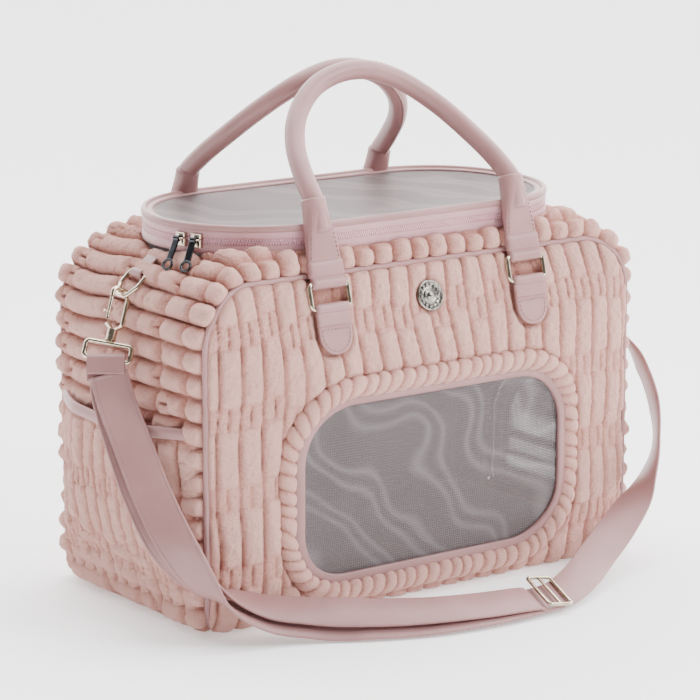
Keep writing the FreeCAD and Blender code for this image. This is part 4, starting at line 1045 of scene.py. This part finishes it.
TAB_SEAM_HALF = 12.6
FLAP_LEAN = math.radians(16)
TUBE_RADIUS = 8.0
FLAP_HALF, FLAP_THICK = 15.2, 2.6      # where the flap leaves its ring
FLAP_TAPER, FLAP_SWELL = 5.6, 6.7      # how much narrower and thicker it is at the tube
for facing, side_name in ((-1, "front"), (1, "back")):
    ring_low, ring_high = box_mm(f"{side_name}_right_ring")
    flap_low, flap_high = box_mm(f"{side_name}_right_flap")
    span = (flap_low[0] + flap_high[0]) / 2
    outer_depth, inner_depth = max(abs(ring_low[1]), abs(ring_high[1])) - 2, min(
        abs(ring_low[1]), abs(ring_high[1])) + 2
    upper = np.array([span, facing * inner_depth, ring_high[2] - 2.0])
    lower = np.array([span, facing * outer_depth, ring_low[2] + 2.0])
    up = np.array([0, -facing * math.sin(FLAP_LEAN), math.cos(FLAP_LEAN)])
    out = np.array([0, facing * math.cos(FLAP_LEAN), math.sin(FLAP_LEAN)])
    top = upper + up * 53
    bend = top + up * 9
    route = [tuple(top - up * 14), tuple(top), tuple(bend), (94, facing * 73, 340),
             (84, facing * 46, 362), (68, facing * 26, 382), (42, facing * 12, 401),
             (14, facing * 8.9, 410.5)]
    route = [np.array(p, float) for p in route]
    whole = [p * np.array([-1, 1, 1]) for p in route] + route[::-1]
    line = smooth_path(whole, 3.0)
    outs = np.stack([line[:, 0] * 0, np.full(len(line), facing * 1.0), np.full(len(line), 0.55)], 1)
    body = f"{side_name}_handle"
    add_sweep(f"{side_name}_handle_grip", line, outs, circle(TUBE_RADIUS, 24), body, "leatherette",
              LEATHER, replaces=[f"{side_name}_handle_tube"])
    under = sweep(line, outs, [(0, -TUBE_RADIUS - 0.15)])[:, 0]
    add_sweep(f"{side_name}_handle_seam", under[6:-6], under[6:-6] - line[6:-6], circle(0.75, 8), body,
              "leatherette", LEATHER)
    for end_name, x_sign in (("left", -1), ("right", 1)):
        mirror = np.array([x_sign, 1, 1])
        s = np.linspace(1.5, 66, 44)
        spine = (upper + up * s[:, None]) * mirror
        spine += (out * (-1.2 * ease((s - 20) / 40))[:, None]) * mirror
        grow = ease((s - 16) / 46)
        shapes = np.array([strap_section(FLAP_HALF - FLAP_TAPER * g, FLAP_THICK + FLAP_SWELL * g,
                                         5.0 - 2.8 * g) for g in grow])
        shapes[-1] *= 0.93
        name = f"{side_name}_{end_name}"
        add_sweep(f"{name}_flap_wrap", spine, np.repeat([out * mirror], len(s), 0), shapes, body,
                  "leatherette", LEATHER, replaces=[f"{name}_flap"])
        s = np.linspace(5, 17.5, 8)
        keeper_spine = (upper + up * s[:, None]) * mirror
        bulge = 1 - np.abs(np.linspace(-1, 1, 8)) ** 6 * 0.25
        keeper = np.array([strap_section(16.0, 3.6 * b, 5) for b in bulge])
        add_sweep(f"{name}_flap_band", keeper_spine, np.repeat([out * mirror], 8, 0), keeper, body,
                  "leatherette", LEATHER)
        for edge_x in (-1, 1):
            s = np.linspace(20, 58, 30)
            inset = (FLAP_HALF - FLAP_TAPER * ease((s - 16) / 46)) - 2.4
            rise = FLAP_THICK + FLAP_SWELL * ease((s - 16) / 46)
            seam_line_points = (upper + up * s[:, None]) * mirror
            seam_line_points = seam_line_points + np.outer(inset * edge_x, [1, 0, 0])
            lift = rise * (1 - 0.35 * ease((s - 16) / 46)) - 1.2 * ease((s - 20) / 40) + 0.1
            seam_line_points += (out * mirror) * lift[:, None]
            stitches(f"{name}_flap_stitches_{'a' if edge_x < 0 else 'b'}", seam_line_points,
                     np.repeat([out * mirror], 30, 0), body)
        for bar, loop_body, loop_name in ((upper, body, "flap_fold"), (lower, "carcass", "tab_fold")):
            x = np.linspace(-15.2, 15.2, 13) + bar[0] * x_sign
            rounding = 1 - 0.10 * np.abs(np.linspace(-1, 1, 13)) ** 8
            loop_line = np.stack([x, np.full(13, bar[1]), np.full(13, bar[2])], 1)
            add_sweep(f"{name}_{loop_name}", loop_line, np.repeat([[0, facing, 0.0]], 13, 0),
                      circle(4.3, 20), loop_body, "leatherette", LEATHER, scale=rounding)
        tab_low, tab_high = box_mm(f"{name}_tab")
        z = np.linspace(lower[2] - 2, tab_low[2], 34)
        x = np.full(34, lower[0] * x_sign)
        drop = z - tab_low[2]
        half = np.where(drop < 15, np.sqrt(np.clip(15.2 ** 2 - (15.2 - drop) ** 2, 0.2, None)), 15.2)
        lift = 4.6 + 1.2 * ease((drop - 25) / 12)
        tab_points, tab_normals = on_face(facing, x, z, lift)
        shapes = np.array([strap_section(h, 1.9 if h > 6 else 1.9 * h / 6, 6) for h in half])
        add_sweep(f"{name}_tab_strap", tab_points, tab_normals, shapes, "carcass", "leatherette",
                  LEATHER, replaces=[f"{name}_tab"])
        band_z = np.linspace(lower[2] - 4, lower[2] - 14, 6)
        band, band_normal = on_face(facing, np.full(6, lower[0] * x_sign), band_z, np.full(6, 5.6))
        add_sweep(f"{name}_tab_band", band, band_normal, strap_section(15.6, 2.2, 6), "carcass",
                  "leatherette", LEATHER)
        seam_head, seam_foot = lower[2] - 17, tab_low[2] + 15.2
        bend = np.radians(np.arange(10, 171, 10))
        edge_z = np.concatenate([[seam_head] * 2, np.linspace(seam_head, seam_foot, 8),
                                 [seam_foot - TAB_SEAM_HALF * math.sin(a) for a in bend],
                                 np.linspace(seam_foot, seam_head, 8), [seam_head] * 2])
        edge_x = np.concatenate([[0, TAB_SEAM_HALF], np.full(8, TAB_SEAM_HALF),
                                 [TAB_SEAM_HALF * math.cos(a) for a in bend],
                                 np.full(8, -TAB_SEAM_HALF), [-TAB_SEAM_HALF, 0]])
        edge_points, edge_normals = on_face(facing, edge_x + lower[0] * x_sign, edge_z,
                                            np.full(len(edge_x), 6.5))
        stitches(f"{name}_tab_stitches", edge_points, edge_normals, "carcass")

# ------------------------------------------------------------------ round badge
badge_low, badge_high = box_mm("badge")
badge_z = (badge_low[2] + badge_high[2]) / 2
badge_at, badge_normal = on_face(-1, np.array([0.0]), np.array([badge_z]), np.array([1.2]))
badge_at, badge_normal = badge_at[0], badge_normal[0]
badge_x = np.array([1.0, 0, 0])
badge_up = np.cross(badge_normal, badge_x)
badge_up /= np.linalg.norm(badge_up)


def badge_spot(radius, angle, out):
    radius, angle, out = np.broadcast_arrays(radius, angle, out)
    return (badge_at + badge_x * (radius * np.cos(angle))[..., None]
            + badge_up * (radius * np.sin(angle))[..., None] + badge_normal * out[..., None])


lathe = [(12.3, -3), (12.6, 0.0), (12.5, 1.8), (11.9, 2.6), (11.2, 2.6), (10.6, 1.7), (10.2, 1.0),
         (6.6, 1.1), (5.9, 1.3), (5.5, 2.0), (5.0, 2.2), (4.4, 1.8), (3.9, 1.5), (2.9, 2.5), (1.6, 3.2),
         (0.05, 3.4)]
turns = np.linspace(0, 2 * math.pi, 64, endpoint=False)
rings = np.array([badge_spot(r, turns, o) for r, o in lathe])
add_grid("badge_disc", rings, "carcass", "badge_metal", SILVER, wrap_columns=True, flip=True,
         replaces=["badge"])
BEAD_COUNT, BEAD_RADIUS, BEAD_RING = 14, 1.35, 8.4
bead_verts, bead_faces = [], []
for k in range(BEAD_COUNT):
    middle = badge_spot(BEAD_RING, 2 * math.pi * k / BEAD_COUNT, 1.1)
    start = len(bead_verts)
    for ring_out in np.linspace(0, math.pi / 2, 6):
        for a in np.linspace(0, 2 * math.pi, 12, endpoint=False):
            r = BEAD_RADIUS * math.cos(ring_out)
            bead_verts.append(middle + badge_x * r * math.cos(a) + badge_up * r * math.sin(a)
                              + badge_normal * BEAD_RADIUS * math.sin(ring_out))
    bead_faces += [[start + i for i in face] for face in grid_faces(6, 12, wrap_columns=True)]
add_mesh("badge_beads", bead_verts, bead_faces, "carcass", "badge_metal", SILVER)

# ------------------------------------------------------------------ shoulder strap
LEFT_LEG = [
    ((-242.5, -21.5, 196.5), (0.80, -0.60, 0)), ((-245, -36, 179), (0.78, -0.60, -0.05)),
    ((-247, -62, 150), (0.74, -0.62, -0.1)), ((-246, -88, 115), (0.68, -0.66, -0.2)),
    ((-237, -112, 76), (0.60, -0.68, -0.3)), ((-216, -128, 40), (0.46, -0.74, -0.42)),
    ((-184, -138, 20), (0.26, -0.84, -0.46)), ((-148, -152, 11.5), (0.16, -0.88, -0.42)),
    ((-108, -174, 9.5), (0.24, -0.88, -0.38)), ((-62, -193, 9), (0.2, -0.9, -0.36)),
    ((-10, -202, 9), (0.05, -0.92, -0.36)), ((40, -202, 9.5), (-0.06, -0.93, -0.36)),
]
RIGHT_LEG = [
    ((64, -199, 10.5), (-0.16, -0.92, -0.36)), ((96, -185, 15), (-0.3, -0.86, -0.42)),
    ((132, -165, 24), (-0.4, -0.78, -0.48)), ((170, -147, 38), (-0.5, -0.7, -0.5)),
    ((205, -133, 60), (-0.6, -0.66, -0.46)), ((230, -121, 90), (-0.6, -0.74, -0.3)),
    ((241, -106, 122), (-0.4, -0.88, -0.2)), ((244, -84, 152), (-0.2, -0.9, -0.4)),
    ((244, -54, 176), (0, -0.84, -0.54)), ((243, -29, 193), (0.15, -0.9, -0.4)),
    ((242, -20, 200), (0.3, -0.95, -0.1)),
]
RETURN_LEG = LEFT_LEG[:-1] + [((33, -202, 9.4), (-0.05, -0.93, -0.36))]


def strap_lines(stations):
    """Middle line of the webbing with its across and upward directions."""
    both = smooth_path(np.array([tuple(p) + tuple(a) for p, a in stations], float), 4.0)
    line, across = both[:, :3], both[:, 3:]
    ahead = np.gradient(line, axis=0)
    ahead /= np.linalg.norm(ahead, axis=1)[:, None]
    across = across - ahead * np.sum(across * ahead, 1)[:, None]
    across /= np.linalg.norm(across, axis=1)[:, None]
    return line, across, np.cross(ahead, across)


def webbing(name, stations, lift, replaced, seed, wander=0.0):
    line, across, normal = strap_lines(stations)
    drift = np.sin(np.linspace(0, 1, len(line)) * math.pi) ** 0.6 * wander
    line = line + across * drift[:, None] - normal * np.abs(drift)[:, None] * 0.35
    profile = [(-15, 0), (-14.8, 0.8), (-14.2, 1.15), (-12.9, 1.1), (-12.5, 0.72), (-12.1, 1.1),
               (-11, 1.25), (0, 1.4), (11, 1.25), (12.1, 1.1), (12.5, 0.72), (12.9, 1.1), (14.2, 1.15),
               (14.8, 0.8), (15, 0), (14.8, -0.8), (14.2, -1.1), (0, -1.2), (-14.2, -1.1), (-14.8, -0.8)]
    profile = np.array(profile)
    ripple = (value_noise(np.arange(len(line)) * 4.0, np.zeros(len(line)), 30.0, seed) - 0.5) * 0.8
    out = profile[None, :, 1] + lift + ripple[:, None]
    points = line[:, None] + across[:, None] * profile[None, :, :1] + normal[:, None] * out[..., None]
    count = len(line)
    add_mesh(name, points.reshape(-1, 3), sweep_faces(count, len(profile), False), "strap",
             "leatherette", LEATHER, replaces=replaced)
    for side_name, side in (("a", -12.5), ("b", 12.5)):
        edge = line + across * side + normal * (lift + ripple + 0.75)[:, None]
        stitches(f"{name}_stitches_{side_name}", edge, normal, "strap", pitch=3.6, length=2.4,
                 thick=0.38)


INNER_LIFT = -3.2   # from the outer layer of webbing to the one behind it
webbing("strap_outer", LEFT_LEG + RIGHT_LEG, 0.0, ["strap_long_run"], 61)
webbing("strap_inner", RETURN_LEG, INNER_LIFT, ["strap_return_run"], 62, -9.0)


LOOP_BAR = np.array([240.3, -14.8, 206.8])


def strap_fold(side_name, station):
    """Webbing turned round a strap loop's bar, from the outer layer to the end sewn behind it."""
    point, across = np.array(station[0], float), np.array(station[1], float)
    across /= np.linalg.norm(across)
    bar = LOOP_BAR * np.array([np.sign(point[0]), 1, 1])
    down = point - bar
    down -= across * (down @ across)
    reach = np.linalg.norm(down)
    down /= reach
    out = np.cross(down, across)
    out *= np.sign(out @ np.array([bar[0], bar[1], 0.0]))
    wrap = [bar + down * reach + out * 0.2, bar + down * reach * 0.5 + out * 2.2]
    wrap += [bar + 3.5 * (math.cos(a) * out - math.sin(a) * down)
             for a in np.radians(np.arange(0, 181, 30))]
    wrap += [bar + down * reach * 0.5 - out * 2.8, bar + down * (reach + 4) + out * INNER_LIFT]
    line = smooth_path(np.array(wrap), 1.5)
    normals = np.gradient(line, axis=0)
    normals = np.cross(normals, across)
    add_sweep(f"{side_name}_strap_fold", line, normals, strap_section(14.8, 1.25, 6), "strap",
              "leatherette", LEATHER)
    middle = bar + down * (reach - 1.5) + out * 1.75
    cross = np.array([middle + across * a for a in (-11.5, 0, 11.5)])
    stitches(f"{side_name}_strap_fold_stitches", cross, np.repeat([out], 3, 0), "strap")


strap_fold("left", LEFT_LEG[0])
strap_fold("right", RIGHT_LEG[-1])

for side_name, side in (("left", -1), ("right", 1)):
    low, high = box_mm(f"{side_name}_d_ring")
    tab_low, tab_high = box_mm(f"{side_name}_d_ring_tab")
    bar = np.array([side * (min(abs(low[0]), abs(high[0])) + 1.6), 0.0, high[2] - 1.6])
    way = np.array([-side * 0.68, 0.0, 0.73])
    rise = np.array([side * 0.73, 0.0, 0.68])
    turned = np.radians(np.arange(-70, 181, 25))
    wrap = [bar + way * 25 - rise * 3.0, bar + way * 14 - rise * 1.2]
    wrap += [bar + 3.1 * (math.cos(a) * rise - math.sin(a) * way) for a in turned]
    wrap += [bar + way * 12 - rise * 3.6]
    line = smooth_path(np.array(wrap), 1.2)
    add_sweep(f"{side_name}_ring_tab_fold", line, np.cross(np.gradient(line, axis=0), [0, 1.0, 0]),
              strap_section(7.5, 0.9, 5), "carcass", "leatherette", LEATHER,
              replaces=[f"{side_name}_d_ring_tab"])

# ------------------------------------------------------------------ base, cushion
QUILT = 40.0
BASE_HALF_DEPTH = 86.0
base_flat, _ = rounded_outline(SEAM_SIDE - 14, -BASE_HALF_DEPTH, BASE_HALF_DEPTH, 18, 4.0)
base_points = polar_sheet(base_flat, np.zeros(2), 14,
                          lambda flat, _: np.concatenate([flat, np.full(flat.shape[:2] + (1,), 1.0)], -1))
quilt = np.abs(np.sin(base_points[..., 0] / QUILT * math.pi))
quilt = quilt * np.abs(np.sin(base_points[..., 1] / QUILT * math.pi))
base_points[..., 2] += 1.2 * (1 - np.sqrt(quilt))
add_grid("base_cloth", base_points, "carcass", "lining", LINING, wrap_columns=True,
         replaces=["bottom_panel"])

cushion_low, cushion_high = box_mm("base_cushion")
cushion_flat, _ = rounded_outline(cushion_high[0], cushion_low[1], cushion_high[1], 14, 4.0)
shares = np.linspace(1, CENTRE_SHARE, 26)
half_thick = (cushion_high[2] - cushion_low[2]) / 2
middle_z = (cushion_low[2] + cushion_high[2]) / 2
bulge = (1 - shares ** 6) ** 0.5
tops, bottoms = [], []
for share, rise in zip(shares, bulge):
    flat = cushion_flat * share
    tuft = 1 - 0.35 * np.exp(-((np.abs(flat[:, 0]) - 90) / 9) ** 2) - 0.35 * np.exp(-(flat[:, 0] / 9) ** 2)
    tops.append(np.column_stack([flat, middle_z + half_thick * rise * tuft]))
    bottoms.append(np.column_stack([flat, np.full(len(flat), middle_z - half_thick * rise)]))
cushion_points = np.array(bottoms[::-1] + tops[1:])
cushion = add_grid("cushion_pad", cushion_points, "carcass", "cushion", VELOUR, wrap_columns=True,
                   replaces=["base_cushion"])

# ------------------------------------------------------------------ end door
door_tree = surface_of(["right_gusset", "door_panel", "door_mesh", "door_zip_tape", "front_panel",
                        "back_panel"])
door_relief = end_relief(door_tree, 1, 98, 160)
DOOR_HALF = box_mm("door_panel")[1][1]
DOOR_HEAD = box_mm("door_panel")[1][2]
DOOR_LOW = box_mm("door_panel")[0][2]
MESH_HALF = box_mm("door_mesh")[1][1]
MESH_HEAD = box_mm("door_mesh")[1][2]
MESH_LOW = box_mm("door_mesh")[0][2]


def arch_outline(half, low, head, count):
    """Closed outline of a round-headed opening as (y, z) points."""
    spring = head - half
    points = [(-half, low + 5, 0), (-half, spring, 0)]
    points += [(-half * math.cos(a), spring + half * math.sin(a), 0)
               for a in np.radians(np.arange(6, 175, 6))]
    points += [(half, spring, 0), (half, low + 5, 0), (half - 5, low, 0), (-half + 5, low, 0),
               (-half, low + 5, 0)]
    line = np.array(points, float)
    length = np.linalg.norm(np.diff(line, axis=0), axis=1).sum()
    return even(line, length / count)[:count, :2]


def on_end(y, z, lift):
    dy = (door_relief.at(y + 3, z) - door_relief.at(y - 3, z)) / 6
    dz = (door_relief.at(y, z + 3) - door_relief.at(y, z - 3)) / 6
    normal = np.stack([np.ones_like(dy), -dy, -dz], -1)
    normal /= np.linalg.norm(normal, axis=-1)[..., None]
    points = np.stack([door_relief.at(y, z), y, z], -1)
    return points + normal * np.asarray(lift)[..., None], normal


DOOR_COUNT = 420
outer_arch = arch_outline(DOOR_HALF - 0.4, DOOR_LOW + 0.4, DOOR_HEAD - 0.4, DOOR_COUNT)
inner_arch = arch_outline(MESH_HALF + 1, MESH_LOW - 1, MESH_HEAD + 1, DOOR_COUNT)
shares = np.linspace(0, 1, 16)[:, None, None]
door_flat = outer_arch[None] * (1 - shares) + inner_arch[None] * shares
ribs = np.linspace(0, 46, DOOR_COUNT, endpoint=False)[None]
door_puff = np.sqrt(np.clip(1 - np.abs(2 * (ribs % 1) - 1) ** 2.4, 0, 1)) * dome(
    np.minimum(shares[..., 0], 1 - shares[..., 0]) / 0.35)
door_points, _ = on_end(door_flat[..., 0], door_flat[..., 1], -1.5 + 4.5 * door_puff)
# the puff of each rib also goes to the material as painted shade between the ribs
add_grid("door_plush", door_points, "door", "plush", PLUSH, wrap_columns=True,
         replaces=["door_panel"], values=door_puff)
trim_points, trim_normals = on_end(inner_arch[:, 0], inner_arch[:, 1], np.full(DOOR_COUNT, 0.4))
add_sweep("door_window_binding", trim_points, trim_normals, strap_section(3.2, 1.6, 4, 14), "door",
          "leatherette", LEATHER, closed=True)
door_net_points = polar_sheet(inner_arch, np.array([0.0, 80.0]), 20,
                              lambda flat, _: on_end(flat[..., 0], flat[..., 1],
                                                     np.full(flat.shape[:2], -1.2))[0])
door_net = add_grid("door_net_sheet", door_net_points, "door", "window_net", WINDOW_NET,
                    wrap_columns=True, replaces=["door_mesh"])
tape_arch = arch_outline(DOOR_HALF + 2.8, DOOR_LOW - 1.0, DOOR_HEAD + 2.8, DOOR_COUNT)
tape_points, tape_normals = on_end(tape_arch[:, 0], tape_arch[:, 1], np.full(DOOR_COUNT, -0.6))
add_sweep("door_tape", tape_points, tape_normals, strap_section(2.1, 1.2, 4, 12), "carcass",
          "zip_tape", TAPE, closed=True, replaces=["door_zip_tape"])

# ------------------------------------------------------------------ nodes that keep their CAD shape
finishes = {"cabin_lining": LINING, "base_board": BOARD}
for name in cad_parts:
    if (name.endswith(("_ring", "_hook", "_gate", "_strap_loop")) or name == "strap_slider_buckle"
            or "zip_slider" in name):
        finishes[name] = GOLD
    if "zip_pull" in name:
        finishes[name] = GUNMETAL
for name, finish in finishes.items():
    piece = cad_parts[name]
    piece.data.materials.clear()
    piece.data.materials.append(finish)

# ------------------------------------------------------------------ floor, lights and camera
floor_size = 40
floor_mesh = bpy.data.meshes.new("floor")
floor_mesh.from_pydata([(-floor_size, -floor_size, 0), (floor_size, -floor_size, 0),
                        (floor_size, floor_size, 0), (-floor_size, floor_size, 0)], [], [(0, 1, 2, 3)])
floor = bpy.data.objects.new("floor", floor_mesh)
bpy.context.scene.collection.objects.link(floor)
floor_mesh.materials.append(Look("floor").finish(
    Base_Color=(0.92, 0.92, 0.92, 1), Roughness=0.9, Emission_Color=(1, 1, 1, 1),
    Emission_Strength=0.5))

world = bpy.data.worlds.new("studio")
bpy.context.scene.world = world
world.use_nodes = True
sky_nodes, sky_links = world.node_tree.nodes, world.node_tree.links
sky_way = sky_nodes.new("ShaderNodeTexCoord")
sky_split = sky_nodes.new("ShaderNodeVectorMath")
sky_split.operation = "DOT_PRODUCT"
sky_split.inputs[1].default_value = (0.66, 0.62, 0.42)
sky_links.new(sky_way.outputs["Generated"], sky_split.inputs[0])
sky_level = sky_nodes.new("ShaderNodeMapRange")
sky_level.inputs["From Min"].default_value = 0.0
sky_level.inputs["From Max"].default_value = 0.72
sky_level.inputs["To Min"].default_value = 0.20
sky_level.inputs["To Max"].default_value = 6.5
sky_links.new(sky_split.outputs["Value"], sky_level.inputs["Value"])
sky_links.new(sky_level.outputs["Result"], sky_nodes["Background"].inputs["Strength"])
sky_nodes["Background"].inputs["Color"].default_value = (1.0, 0.995, 0.99, 1)


def area_light(name, location, target, size, power, color=(1, 1, 1)):
    data = bpy.data.lights.new(name, "AREA")
    data.size = size
    data.energy = power
    data.color = color
    light = bpy.data.objects.new(name, data)
    bpy.context.scene.collection.objects.link(light)
    light.location = location
    light.rotation_euler = (Vector(target) - Vector(location)).to_track_quat("-Z", "Y").to_euler()


area_light("key", (1.1, -2.2, 1.9), (0, 0, 0.15), 1.0, 78)
area_light("side", (-2.2, -0.9, 1.4), (0, 0, 0.15), 1.2, 1.2)
area_light("top", (0.1, 0.3, 2.4), (0, 0, 0.2), 1.2, 16)

camera_data = bpy.data.cameras.new("camera")
camera_data.lens = 156.86
camera_data.sensor_width = 36
camera = bpy.data.objects.new("camera", camera_data)
bpy.context.scene.collection.objects.link(camera)
camera.location = (-1.4326, -1.9746, 0.7211)
camera.rotation_euler = (Vector((0.002, 0, 0.180)) - camera.location).to_track_quat("-Z", "Y").to_euler()
bpy.context.scene.camera = camera
